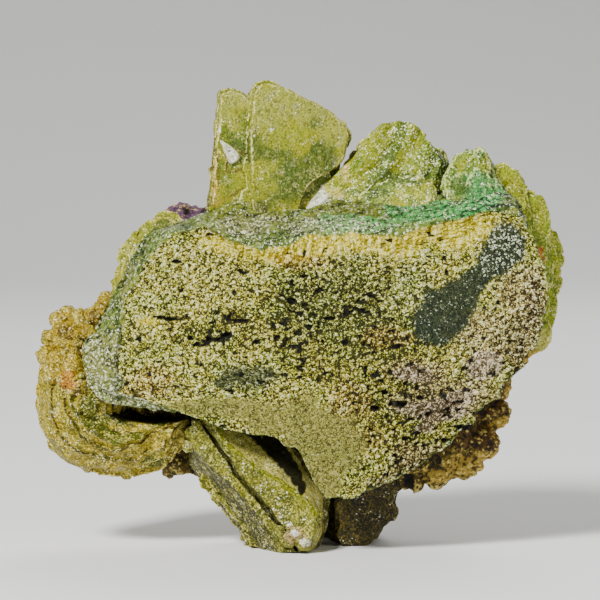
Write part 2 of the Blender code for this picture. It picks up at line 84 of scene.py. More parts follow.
def grains(points, size, seed=0):            # one random seed point a cell: nearest, second nearest, cell's value
    place = points / size + seed * 5.17
    whole = np.floor(place).astype(int)
    nearest = np.full(place.shape[:-1], 9.0)
    second = nearest.copy()
    value = np.zeros_like(nearest)
    for corner in itertools.product((-1, 0, 1), repeat=3):
        cell = whole + corner
        index = cell % latticeSide
        found = jitter[index[..., 0], index[..., 1], index[..., 2]]
        away = np.linalg.norm(cell + found[..., :3] - place, axis=-1)
        second = np.minimum(second, np.maximum(away, nearest))
        value = np.where(away < nearest, found[..., 3], value)
        nearest = np.minimum(away, nearest)
    return nearest, second, value


def stretched(points, direction, ratio):     # the points with their part along a direction made shorter
    direction = np.array(direction) / np.linalg.norm(direction)
    along = (points @ direction)[..., None] * direction
    return points - along * (1 - 1 / ratio)


# Mesh helpers

def gridFaces(rows, columns, closed):        # quads between the points of a grid, counted row by row
    index = np.arange(rows * columns).reshape(rows, columns)
    if closed:
        index = np.hstack([index, index[:, :1]])
    return np.stack([index[:-1, :-1], index[:-1, 1:], index[1:, 1:], index[1:, :-1]], axis=-1).reshape(-1, 4)


def cappedFaces(rows, columns, flipped=False):  # closed rings, and fans to the last two points, one at each end
    index = np.arange(columns)
    ahead = np.roll(index, -1)
    quads = gridFaces(rows, columns, True)
    if flipped:
        index, ahead, quads = ahead, index, quads[:, ::-1]
    last = (rows - 1) * columns
    start, end = np.full(columns, last + columns), np.full(columns, last + columns + 1)
    fans = np.vstack([np.stack([ahead, index, start], axis=-1), np.stack([last + index, last + ahead, end], axis=-1)])
    return quads.tolist() + fans.tolist()


def roundGrid(columns, rows):
    # A square grid bent to a disc, x times the root of one less half of y squared and the same for y: its points'
    # angles and radii, and its border as a loop
    across, up = np.meshgrid(np.linspace(-1, 1, columns), np.linspace(-1, 1, rows))
    u = across * np.sqrt(1 - up * up / 2)
    v = up * np.sqrt(1 - across * across / 2)
    index = np.arange(rows * columns).reshape(rows, columns)
    loop = np.concatenate([index[0, :-1], index[:-1, -1], index[-1, :0:-1], index[:0:-1, 0]])
    return np.arctan2(v, u).ravel(), np.hypot(u, v).ravel(), loop


def finer(outline):                          # a closed outline with seven more points along each side
    outline = np.array(outline)
    steps = np.arange(8)[:, None, None] / 8
    cut = outline * (1 - steps) + np.roll(outline, -1, axis=0) * steps
    return cut.transpose(1, 0, 2).reshape(-1, 2)


def atAngles(outline, edge, middle, angle):  # an outline's points where an edge that it is paired with has angles
    away = finer(edge) - middle
    turns = np.arctan2(away[:, 1], away[:, 0])
    order = np.argsort(turns)
    points = finer(outline)[order]
    return np.stack([np.interp(angle, turns[order], points[:, i], period=2 * math.pi) for i in (0, 1)], axis=-1)


def gathered(parts):                         # several (points, faces) as one
    points, faces, count = [], [], 0
    for some, their in parts:
        points.append(some)
        faces += [[count + corner for corner in face] for face in their]
        count += len(some)
    return np.vstack(points), faces


def meshPiece(name, points, faces):          # a mesh object from points in millimetres
    mesh = bpy.data.meshes.new(name)
    mesh.from_pydata((points * mm).tolist(), [], faces)
    mesh.update()
    piece = bpy.data.objects.new(name, mesh)
    bpy.context.scene.collection.objects.link(piece)
    return piece


def pointsOf(piece):                         # a piece's points, in millimetres
    found = np.empty(len(piece.data.vertices) * 3)
    piece.data.vertices.foreach_get("co", found)
    return found.reshape(-1, 3) / mm


def facesOf(piece):
    return [list(face.vertices) for face in piece.data.polygons]


def normalsOf(piece):
    found = np.empty(len(piece.data.vertices) * 3)
    piece.data.vertices.foreach_get("normal", found)
    return found.reshape(-1, 3)


def setPoints(piece, points):
    piece.data.vertices.foreach_set("co", (points * mm).ravel())
    piece.data.update()


def setValue(piece, name, values):           # a number for each point, which the materials read
    layer = piece.data.attributes.new(name, "FLOAT", "POINT")
    layer.data.foreach_set("value", np.asarray(values, dtype=np.float32))


def crisp(piece, degrees=32):                # smooth shading, broken at the edges that turn more than this
    piece.data.shade_smooth()
    piece.data.set_sharp_from_angle(angle=math.radians(degrees))


def outwards(piece):                         # makes the faces of a closed mesh point outwards
    shape = bmesh.new()
    shape.from_mesh(piece.data)
    bmesh.ops.recalc_face_normals(shape, faces=shape.faces)
    shape.to_mesh(piece.data)
    shape.free()


def applied(piece):                          # the piece's mesh, with its modifiers worked in
    depsgraph = bpy.context.evaluated_depsgraph_get()
    mesh = bpy.data.meshes.new_from_object(piece.evaluated_get(depsgraph))
    piece.modifiers.clear()
    piece.data = mesh


def fused(piece, voxel):                     # overlapping closed shapes as one skin of small even quads
    remesh = piece.modifiers.new("fuse", "REMESH")
    remesh.mode = "VOXEL"
    remesh.voxel_size = voxel * mm
    applied(piece)


def convexity(piece, rounds):                # how far each point stands out of its neighbours' middle, smoothed
    points = pointsOf(piece)
    edges = np.empty(len(piece.data.edges) * 2, dtype=int)
    piece.data.edges.foreach_get("vertices", edges)
    first, second = edges.reshape(-1, 2).T
    count = np.bincount(edges, minlength=len(points))

    def around(values):
        total = np.bincount(first, values[second], len(points)) + np.bincount(second, values[first], len(points))
        return total / count

    middle = np.stack([around(points[:, axis]) for axis in range(3)], axis=-1)
    found = ((points - middle) * normalsOf(piece)).sum(1)
    for _ in range(rounds):
        found = 0.4 * found + 0.6 * around(found)
    return found


def patch(points, spots, depth, edge=0.35, wobble=0.55):  # 1 inside ellipses given in picture pixels, 0 outside
    found = np.zeros(len(points))
    shake = wobble * (billow(points, 4.0, 40) + 0.5 * billow(points, 1.3, 44))
    for px, py, wide, high in spots:
        x, z = fromPicture(px, py, depth)
        scale = camera["span"] / camera["picture"]
        away = np.hypot((points[:, 0] - x) / (wide * scale), (points[:, 2] - z) / (high * scale))
        found = np.maximum(found, 1 - smoothStep(1 - edge, 1 + edge, away + shake))
    return found


def triangles(piece):                        # the corners of a piece's triangles, in millimetres
    piece.data.calc_loop_triangles()
    found = np.empty(len(piece.data.loop_triangles) * 3, dtype=int)
    piece.data.loop_triangles.foreach_get("vertices", found)
    return pointsOf(piece)[found.reshape(-1, 3)]


def scattered(corners, weight, count, random):  # random places on triangles, by area and weight, and their normals
    cross = np.cross(corners[:, 1] - corners[:, 0], corners[:, 2] - corners[:, 0])
    size = np.linalg.norm(cross, axis=1) + 1e-9
    share = size * weight(corners.mean(1), cross / size[:, None])
    chosen = random.choice(len(corners), count, p=share / share.sum())
    first, second = random.random((2, count, 1))
    over = first + second > 1
    first, second = np.where(over, 1 - first, first), np.where(over, 1 - second, second)
    found = corners[chosen]
    places = found[:, 0] + first * (found[:, 1] - found[:, 0]) + second * (found[:, 2] - found[:, 0])
    return places, (cross / size[:, None])[chosen]


crystalPoints = 12                           # six round each of a small crystal's two sides


def smallCrystals(places, normals, sizes, random):
    # A six-sided plate, a little smaller on one side, turned every way by random unit quaternions, at each place
    ring = np.array([(-0.5, -0.32), (0.0, -0.62), (0.5, -0.32), (0.42, 0.4), (0.0, 0.72), (-0.42, 0.4)])
    shape = np.vstack([np.insert(ring * grow, 2, level, axis=1) for grow, level in ((1.0, -0.18), (0.8, 0.18))])
    w, x, y, z = random.normal(size=(4, len(places)))
    length = np.sqrt(w * w + x * x + y * y + z * z)
    w, x, y, z = w / length, x / length, y / length, z / length
    turn = np.array([[1 - 2 * (y * y + z * z), 2 * (x * y - z * w), 2 * (x * z + y * w)],
                     [2 * (x * y + z * w), 1 - 2 * (x * x + z * z), 2 * (y * z - x * w)],
                     [2 * (x * z - y * w), 2 * (y * z + x * w), 1 - 2 * (x * x + y * y)]]).transpose(2, 0, 1)
    middle = places + normals * sizes[:, None] * 0.12
    points = middle[:, None] + np.einsum("nij,kj->nki", turn, shape) * sizes[:, None, None]
    faces = gridFaces(2, 6, True).tolist() + [[5, 4, 3, 2, 1, 0], [6, 7, 8, 9, 10, 11]]
    every = [[crystalPoints * i + corner for corner in face] for i in range(len(places)) for face in faces]
    return points.reshape(-1, 3), every


# Thin plates of crystal

def turned(degrees, axis):
    return Matrix.Rotation(math.radians(degrees), 4, axis)


def cornersCut(points):                      # each side keeps its points at a quarter and at three quarters
    ahead = np.roll(points, -1, axis=0)
    return np.stack([0.75 * points + 0.25 * ahead, 0.25 * points + 0.75 * ahead], axis=1).reshape(-1, 2)


def evenly(points, step):                    # a closed outline's points, evenly spaced along it
    closed = np.vstack([points, points[:1]])
    run = np.concatenate([[0], np.cumsum(np.linalg.norm(np.diff(closed, axis=0), axis=1))])
    along = np.linspace(0, run[-1], int(run[-1] / step), endpoint=False)
    return np.stack([np.interp(along, run, closed[:, i]) for i in (0, 1)], axis=-1)


def outwardOf(points):                       # unit normals of an outline that runs counter-clockwise
    along = np.roll(points, -1, axis=0) - np.roll(points, 1, axis=0)
    along /= np.linalg.norm(along, axis=1)[:, None]
    return np.stack([along[:, 1], -along[:, 0]], axis=-1)


def lamella(outline, centre, low, high, place, seed, ragged=1.0):
    # Rings carried round the outline: they grow from the centre across the front, turn over a rounded edge and
    # shrink across the back. The outline is set in and out by cells and clouds, as the ends of small crystals.
    outline = evenly(cornersCut(np.array(outline)), 0.42)
    ahead = np.roll(outline, -1, axis=0)
    if (outline[:, 0] * ahead[:, 1] - outline[:, 1] * ahead[:, 0]).sum() < 0:
        outline = outline[::-1]
    flat = np.insert(outline, 2, 3.7 * seed, axis=1)
    _, _, value = grains(flat, 2.4, seed % 7)
    shift = ragged * (0.9 * (value - 0.75) + 0.35 * cloud(flat, 3.0)) + 0.10 * cloud(flat, 0.8)
    outline = outline + outwardOf(outline) * shift[:, None]
    away = outline - centre
    reach = np.linalg.norm(away, axis=1)[:, None]
    edge = min(0.16, (high - low) / 3)
    rings = [(0.3 * reach, high, 0), (0.62 * reach, high, 0), (reach - 0.9, high, 0), (reach - 0.42, high, 0.25),
             (reach - edge, high, 1), (reach, high - edge, 1), (reach, low + edge, 0.6), (reach - edge, low, 0.4),
             (0.6 * reach, low, 0)]
    points = [np.insert(centre + away * along / reach, 2, level, axis=1) for along, level, _ in rings]
    points.append([[*centre, high], [*centre, low]])
    faces = cappedFaces(len(rings), len(outline), flipped=True)
    turn = np.array(place)
    pale = np.concatenate([np.repeat([ring[2] for ring in rings], len(outline)), [0, 0]])
    tone = np.full(len(pale), seed * 0.37 % 1)
    return np.vstack(points) @ turn[:3, :3].T + turn[:3, 3], faces, pale, tone, {}


def slabLamellae(slabs, random):             # plates drawn in picture pixels: two layers each, the hind one larger
    for pixels, depth, thick, yaw, pitch, ragged, tone in slabs:
        outline = np.array([fromPicture(px, py, depth) for px, py in pixels])
        middle = (outline.min(0) + outline.max(0)) / 2
        place = Matrix.Translation((middle[0], depth, middle[1])) @ turned(yaw, "Z") @ turned(90 + pitch, "X")
        for low, high, size in ((-thick / 2, 0.1, 1.02), (-0.1, thick / 2, 0.97)):
            part = lamella((outline - middle) * size, np.zeros(2), low, high, place, random.integers(1, 999), ragged)
            yield *part[:4], {tone: np.ones(len(part[0]))}


def ledges(blade):
    # Rails are drawn in the picture and evenly resampled along the blade; across a facet the place goes straight
    # from rail to rail. Clouds drawn out along the blade groove the front, cells roughen it, and the ends close.
    columns = blade["columns"]
    lines, rows, pale, weight, marks = [], [], [], [], []
    for pixels, depth, *_ in blade["rails"]:
        line = np.array([fromPicture(px, py, depth) for px, py in pixels])
        run = np.concatenate([[0], np.cumsum(np.hypot(*np.diff(line, axis=0).T))])
        share = np.linspace(0, run[-1], columns)
        lines.append(np.insert(np.stack([np.interp(share, run, part) for part in line.T], axis=-1), 1, depth, axis=1))
    for i, (_, _, count, sharp, tone) in enumerate(blade["rails"]):
        steps = np.arange(count) / count
        after = blade["rails"][(i + 1) % len(lines)][3]
        rows.append(lines[i] * (1 - steps[:, None, None]) + lines[(i + 1) % len(lines)] * steps[:, None, None])
        pale.append(np.maximum(sharp * (steps < 1.5 / count), after * (steps > 1 - 1.5 / count)))
        weight.append(np.full(count, float(i < len(lines) - 2)))
        marks += [tone] * count
    points = np.concatenate(rows).transpose(1, 0, 2)
    rings = points.shape[1]
    points = points.reshape(-1, 3)
    drawn = stretched(points, blade["along"], 6.0)
    near, _, value = grains(points, 0.7, 61)
    height = 0.40 * billow(drawn, 1.3, 62) + 0.30 * (0.5 - near) * (0.3 + value)
    points += blade["jitter"] * np.stack([cloud(points, 1.6, 63 + i) for i in range(3)], axis=-1)
    points[:, 1] -= np.tile(np.concatenate(weight), columns) * height
    ends = points.reshape(columns, rings, 3)[[0, -1]].mean(1)
    faces = cappedFaces(columns, rings)
    pale = np.append(np.tile(np.concatenate(pale), columns), [0, 0])
    masks = {tone: np.append(np.tile([float(mark == tone) for mark in marks], columns), [0, 0]) for tone in set(marks)}
    points = np.vstack([points, ends])
    return points, faces, pale, np.full(len(points), 0.4), masks


def insideBand(points):                      # a point's share of the way from the crust's middle to its band's edge
    away = np.array(crust["bandEdge"]) - crust["middle"]
    turns = np.arctan2(away[:, 1], away[:, 0])
    order = np.argsort(turns)
    flat = points[:, [0, 2]] - crust["middle"]
    reach = np.interp(np.arctan2(flat[:, 1], flat[:, 0]), turns[order], np.hypot(*away[order].T), period=2 * math.pi)
    return np.hypot(*flat.T) / reach


# Shader helpers

class Wire:                                  # a shader socket that takes part in Python arithmetic
    def __init__(self, paint, socket):
        self.paint = paint
        self.socket = socket

    def math(self, operation, first, second):
        return self.paint.node("ShaderNodeMath", {"operation": operation}, {0: first, 1: second})

    def __add__(self, other):
        return self.math("ADD", self, other)

    def __radd__(self, other):
        return self.math("ADD", other, self)

    def __sub__(self, other):
        return self.math("SUBTRACT", self, other)

    def __rsub__(self, other):
        return self.math("SUBTRACT", other, self)

    def __mul__(self, other):
        return self.math("MULTIPLY", self, other)

    def __rmul__(self, other):
        return self.math("MULTIPLY", other, self)


class Paint:                                 # one material and the nodes in it
    def __init__(self, name):
        self.material = bpy.data.materials.new(name)
        self.material.use_nodes = True
        self.tree = self.material.node_tree
        self.shader = self.tree.nodes["Principled BSDF"]
        place = self.node("ShaderNodeTexCoord", output="Object")
        self.place = self.node("ShaderNodeVectorMath", {"operation": "SCALE"}, {0: place, "Scale": 1 / mm})

    def node(self, kind, settings=None, values=None, output=0):
        made = self.tree.nodes.new(kind)
        for key, value in (settings or {}).items():
            setattr(made, key, value)
        for key, value in (values or {}).items():
            if isinstance(value, Wire):
                self.tree.links.new(value.socket, made.inputs[key])
            else:
                made.inputs[key].default_value = value
        return Wire(self, made.outputs[output])

    def attribute(self, name):
        return self.node("ShaderNodeAttribute", {"attribute_name": name}, output="Fac")

    def step(self, value, low, high):        # 0 to 1 as value goes from low to high
        return self.node("ShaderNodeMapRange", {"interpolation_type": "SMOOTHSTEP"},
                         {"Value": value, "From Min": low, "From Max": high})

    def noise(self, size, detail=3.0, place=None):  # size in millimetres, as in cells and warped
        return self.node("ShaderNodeTexNoise", {}, {"Vector": place or self.place, "Scale": 1 / size,
                                                     "Detail": detail, "Roughness": 0.55}, output="Fac")

    def cells(self, size, output, place=None):
        return self.node("ShaderNodeTexVoronoi", {}, {"Vector": place or self.place, "Scale": 1 / size},
                         output=output)

    def cellValue(self, size, place=None):   # one random number for each cell
        colour = self.cells(size, "Color", place)
        return self.node("ShaderNodeSeparateColor", {}, {0: colour}, output=0)

    def mixed(self, share, first, second):   # from the first colour to the second, as share goes from 0 to 1
        first = (*first, 1.0) if isinstance(first, tuple) else first
        second = (*second, 1.0) if isinstance(second, tuple) else second
        return self.node("ShaderNodeMix", {"data_type": "RGBA"}, {0: share, 6: first, 7: second}, output=2)

    def warped(self, size, amount):          # the place, moved about by a noise of its own
        shift = self.node("ShaderNodeTexNoise", {}, {"Vector": self.place, "Scale": 1 / size, "Detail": 2.0},
                          output="Color")
        shift = self.node("ShaderNodeVectorMath", {"operation": "SUBTRACT"}, {0: shift, 1: (0.5, 0.5, 0.5)})
        shift = self.node("ShaderNodeVectorMath", {"operation": "SCALE"}, {0: shift, "Scale": 2 * amount})
        return self.node("ShaderNodeVectorMath", {"operation": "ADD"}, {0: self.place, 1: shift})

    def mottled(self, name, size=0.7):       # an attribute's mask, with its edge broken up by noise
        return self.step(self.attribute(name) + self.noise(size, 5.0) * 1.6 - 0.8, 0.15, 0.85)

    def squeezed(self, direction, ratio):    # the place, with its part along a direction made shorter
        length = math.sqrt(sum(part * part for part in direction))
        direction = tuple(part / length for part in direction)
        along = self.node("ShaderNodeVectorMath", {"operation": "DOT_PRODUCT"},
                          {0: self.place, 1: direction}, output="Value")
        back = self.node("ShaderNodeVectorMath", {"operation": "SCALE"},
                         {0: direction, "Scale": along * (1 - 1 / ratio)})
        return self.node("ShaderNodeVectorMath", {"operation": "SUBTRACT"}, {0: self.place, 1: back})

    def bump(self, height, distance, strength=1.0):  # distance in millimetres
        return self.node("ShaderNodeBump", {}, {"Height": height, "Distance": distance * mm, "Strength": strength})

    def finish(self, **sockets):             # colours, numbers and wires on the shader itself
        for name, value in sockets.items():
            socket = self.shader.inputs[name.replace("_", " ")]
            if isinstance(value, Wire):
                self.tree.links.new(value.socket, socket)
            else:
                socket.default_value = value
        return self.material


# Colours, from 0 to 255 as on a screen, to linear light. The power keeps them deep under strong lights.

def shade(*screen):
    linear = [((part / 255 + 0.055) / 1.055) ** 2.4 for part in screen]
    grey = sum(linear) / 3
    return tuple(min(0.92, max(0.002, grey + 1.22 * (part - grey)) ** 1.18) for part in linear)


# The crust: its grainy face, its sparkling green rim, and the flat back that meets the rock

crust = {
    "front": -15.0,
    "back": -5.0,
    "bulge": (0.0036, 0.0045),
    "middle": (3.0, 31.0),
    "cells": (257, 165),
    "rimRows": 26,
    "druse": 1500,
    # Plates that stand up from the rim: outline in the picture, depth, thickness, yaw, pitch, raggedness and tone
    "frills": [
        ([(200, 234), (210, 214), (226, 201), (246, 195), (262, 200), (280, 209), (297, 216), (298, 240)],
         -5.8, 1.6, 8, -24, 0.7, ""),
        ([(214, 236), (224, 214), (240, 207), (262, 210), (282, 220), (286, 240)], -7.0, 1.3, 14, -30, 0.7, ""),
        ([(284, 240), (296, 215), (318, 206), (338, 198), (356, 198), (374, 204), (394, 214), (398, 240)],
         -6.0, 1.6, -6, -26, 0.7, ""),
        ([(312, 238), (322, 216), (346, 210), (368, 214), (380, 238)], -7.4, 1.3, 4, -32, 0.7, ""),
        ([(384, 228), (391, 211), (430, 204), (466, 200), (475, 207), (470, 222), (428, 228)],
         -6.8, 2.2, -4, -20, 0.4, ""),
        ([(380, 232), (400, 219), (440, 214), (480, 212), (492, 226), (440, 234)], -8.0, 1.4, 2, -34, 0.5, ""),
        ([(452, 220), (464, 198), (480, 181), (493, 187), (507, 207), (510, 222)], -6.4, 1.8, -14, -18, 0.5, ""),
        ([(126, 300), (117, 307), (105, 327), (83, 340), (81, 354), (83, 372), (86, 386), (94, 395), (105, 402),
          (114, 407), (130, 409), (158, 409), (180, 413), (172, 400), (150, 390), (132, 382), (124, 366),
          (126, 340), (132, 320)], -9.4, 3.0, -14, 2, 0.6, ""),
        ([(122, 306), (108, 328), (90, 344), (88, 366), (96, 384), (112, 392), (128, 386), (120, 366),
          (124, 336)], -10.6, 2.0, -30, -6, 0.6, ""),
        ([(96, 330), (112, 300), (124, 276), (134, 270), (136, 320), (122, 340)], -7.4, 1.4, -34, 0, 0.7, ""),
        ([(120, 284), (130, 254), (148, 232), (162, 226), (158, 262), (138, 296)], -7.0, 1.4, -26, -10, 0.7, ""),
    ],
    "masks": ("dark", "lens", "olive", "mossy", "gold", "orange", "pink", "brown", "porous", "rough", "glintSpots",
              "shards"),
    "faceEdge": [
        (-27.9, 29.5), (-26.8, 37.5), (-23.7, 43.8), (-19.5, 47.8), (-14.8, 49.5), (-10.7, 47.2),
        (-6.2, 46.0), (-2.4, 46.4), (0.8, 48.2), (7.1, 48.4), (14.3, 47.8), (17.0, 49.2),
        (22.2, 50.2), (28.5, 51.8), (32.5, 50.7), (34.7, 46.8), (36.3, 42.6), (36.7, 38.0),
        (35.3, 33.0), (32.0, 28.2), (28.5, 23.8), (25.2, 19.8), (20.7, 15.6), (14.6, 11.7),
        (9.5, 9.6), (6.3, 8.5), (3.5, 8.4), (1.8, 10.6), (0.4, 13.9), (-1.2, 16.6),
        (-5.0, 17.8), (-9.5, 18.8), (-14.0, 20.0), (-18.5, 21.6), (-23.1, 23.2), (-27.4, 24.4),
    ],
    "bandEdge": [
        (-33.4, 30.6), (-29.4, 36.6), (-26.6, 42.8), (-22.6, 48.0), (-15.6, 50.8), (-12.4, 52.2),
        (-7.2, 50.6), (-2.9, 51.8), (2.0, 51.4), (8.1, 52.8), (14.3, 52.4), (18.2, 53.2),
        (23.2, 54.4), (29.0, 56.0), (32.2, 52.8), (34.3, 47.6), (35.6, 42.6), (35.8, 37.8),
        (34.3, 33.2), (31.0, 29.0), (27.3, 25.2), (23.8, 21.8), (19.4, 18.2), (13.8, 14.8),
        (9.6, 13.2), (7.2, 12.8), (5.6, 13.2), (4.4, 15.0), (2.6, 17.6), (-0.2, 20.0),
        (-4.6, 21.0), (-9.2, 21.8), (-14.2, 22.6), (-19.0, 22.8), (-24.6, 22.0), (-30.4, 23.6),
    ],
    # Patches of the rim and the face, as ellipses in the picture: middle, half width, half height
    "mint": [(432, 210, 50, 10), (484, 196, 20, 18), (350, 222, 40, 8)],
    "moss": [(248, 212, 44, 18), (340, 212, 50, 14), (100, 352, 18, 30), (130, 300, 10, 40)],
    "frost": [(104, 366, 22, 40), (150, 398, 40, 12), (240, 226, 30, 8), (320, 224, 60, 8)],
    "dark": [(436, 322, 21, 22), (446, 311, 24, 24), (459, 298, 22, 20), (472, 284, 14, 13), (481, 275, 12, 11),
             (496, 258, 19, 18), (506, 246, 21, 22)],
    "lens": [(244, 377, 25, 11), (226, 384, 16, 7), (262, 372, 14, 8)],
    "olive": [(322, 456, 38, 58), (300, 420, 50, 18), (215, 408, 76, 10), (345, 446, 26, 36)],
    "mossy": [(244, 379, 32, 18), (268, 246, 34, 10), (352, 256, 26, 10), (345, 300, 66, 40), (405, 300, 26, 30)],
    "gold": [(236, 243, 30, 12), (276, 250, 40, 14), (330, 240, 38, 16), (398, 236, 60, 18), (455, 232, 46, 18),
             (150, 322, 12, 3)],
    # where the dark spots get more painted glints
    "glintSpots": [(503, 250, 30, 30)],
    "shards": [(412, 374, 18, 8), (486, 366, 20, 12), (440, 412, 34, 10), (464, 398, 14, 8), (425, 428, 12, 6)],
    "orange": [(148, 386, 30, 18), (385, 338, 26, 10), (346, 408, 24, 26), (360, 440, 30, 16), (300, 262, 30, 8)],
    "pink": [(452, 398, 48, 22), (522, 300, 24, 34), (500, 335, 40, 26), (418, 372, 30, 14), (430, 455, 40, 12)],
    "brown": [(524, 372, 16, 44), (492, 440, 36, 16), (440, 472, 44, 12), (536, 320, 9, 40), (404, 484, 40, 8)],
    "porous": [(320, 325, 66, 54), (400, 415, 56, 46), (225, 330, 60, 20), (395, 350, 40, 40)],
    "rough": [(450, 415, 60, 44), (505, 330, 36, 46)],
    "slits": [(214, 340, 12, 2.8), (200, 345, 7, 3.0), (190, 338, 6, 2.0), (226, 335, 6, 1.6), (172, 320, 8, 1.6),
              (160, 318, 6, 1.5), (258, 342, 5, 2.0), (276, 338, 3, 2.4), (292, 301, 3, 2), (385, 392, 3, 2),
              (398, 404, 5, 2), (374, 408, 3, 2), (412, 420, 5, 2), (392, 430, 5, 2), (370, 442, 3, 2),
              (420, 398, 3, 2), (386, 452, 5, 2), (498, 303, 2, 2), (512, 342, 5, 1.6), (405, 438, 3, 2),
              (448, 442, 6, 3), (462, 428, 7, 3), (478, 415, 5, 3), (430, 462, 6, 3), (470, 452, 5, 4),
              (304, 276, 4, 2.0), (176, 262, 5, 1.6), (240, 320, 6, 1.6), (330, 318, 5, 1.6), (345, 345, 4, 1.6)],
}


def domed(flat):                             # places on the crust's low dome, from their x and z
    away = flat - crust["middle"]
    depth = crust["front"] + away ** 2 @ crust["bulge"]
    return np.stack([flat[:, 0], depth, flat[:, 1]], axis=-1)


def crustFace(angle, radius):
    # A disc drawn to the outline and laid on the dome, its border ragged. Lumps and rounded grains stand out of it,
    # and the gaps between grains, the missing grains and the slits go in.
    edge = atAngles(crust["faceEdge"], crust["faceEdge"], crust["middle"], angle)
    flat = crust["middle"] + (edge - crust["middle"]) * radius[:, None]
    outward = np.stack([np.cos(angle), np.sin(angle)], axis=-1)
    broken = patch(domed(flat), crust["rough"], crust["front"])
    ragged = (0.7 + 1.3 * broken) * billow(domed(flat), 2.4, 19) * smoothStep(0.88, 1.0, radius)
    face = domed(flat + outward * ragged[:, None])
    depth = crust["front"] + 1.5
    masks = {name: patch(face, crust[name], depth, wobble=0.2 if name == "dark" else 0.55) for name in crust["masks"]}
    slit = patch(face, crust["slits"], depth, edge=0.5, wobble=1.1)
    smooth = np.clip(masks["olive"] + 0.75 * masks["dark"], 0, 1)
    fade = 1 - 0.6 * smoothStep(0.97, 1.0, radius)
    flatwise = face * (1, 0.4, 1)
    warp = flatwise + 0.3 * np.stack([cloud(flatwise, 0.8, i) for i in (1, 2, 3)], axis=-1)
    nearest, second, value = grains(warp * (0.75, 1, 1), 0.6, 1)
    grain = np.clip(1.1 - nearest, 0, 1) * (0.4 + 0.6 * value)
    gap = 1 - smoothStep(0.04, 0.30, second - nearest)
    loose = masks["porous"] * smoothStep(-0.35, 0.3, cloud(flatwise, 3.0, 21) + 0.5 * cloud(flatwise, 1.2, 22))
    missing = 1 - smoothStep(0.01 + 0.14 * loose, 0.03 + 0.17 * loose, value)
    # The gaps between grains, the missing grains and the slits, which the paint turns near black as painted shade in
    # these recesses
    pit = np.clip(0.35 * gap + 0.9 * missing, 0, 1) * (1 - smooth)
    pit = np.clip(pit + 1.3 * slit, 0, 1)
    height = (0.45 + 1.2 * masks["rough"]) * billow(face, 5.0, 4) + (0.24 + 0.3 * masks["rough"]) * billow(face, 1.8, 6)
    height += (0.42 * grain - 0.30 * gap - 0.35 * missing) * (1 - 0.85 * smooth) - 0.8 * slit
    face[:, 1] -= fade * height
    return face, masks, grain, pit


def crustRim(first, turn):
    # Rings that go out and back from the face's edge to the band's edge, steeper as they go, pushed out by clouds
    # and cells. Each point's share of the way and the value of its cell come with them.
    last = np.insert(atAngles(crust["bandEdge"], crust["faceEdge"], crust["middle"], turn), 1, crust["back"], axis=1)
    share = (np.arange(1, crust["rimRows"] + 1) / crust["rimRows"])[:, None, None]
    rim = (first + (last - first) * share ** (0.6, 1.0, 0.6)).reshape(-1, 3)
    wave = np.repeat(np.sin(share.ravel() * math.pi) ** 0.6, len(first))
    outward = np.stack([np.cos(turn), -0.5 + 0 * turn, np.sin(turn)], axis=-1)
    outward = np.tile(outward / np.linalg.norm(outward, axis=1)[:, None], (crust["rimRows"], 1))
    near, _, cell = grains(rim * (1, 0.6, 1), 2.0, 3)
    fine, _, fineCell = grains(rim, 0.7, 5)
    bulk = 0.9 * billow(rim, 3.6, 14) + 0.9 * (0.6 - near) * (0.4 + cell) + 0.38 * (0.6 - fine) * (0.3 + fineCell)
    return rim + outward * (wave * bulk)[:, None], np.repeat(share.ravel(), len(first)), fineCell


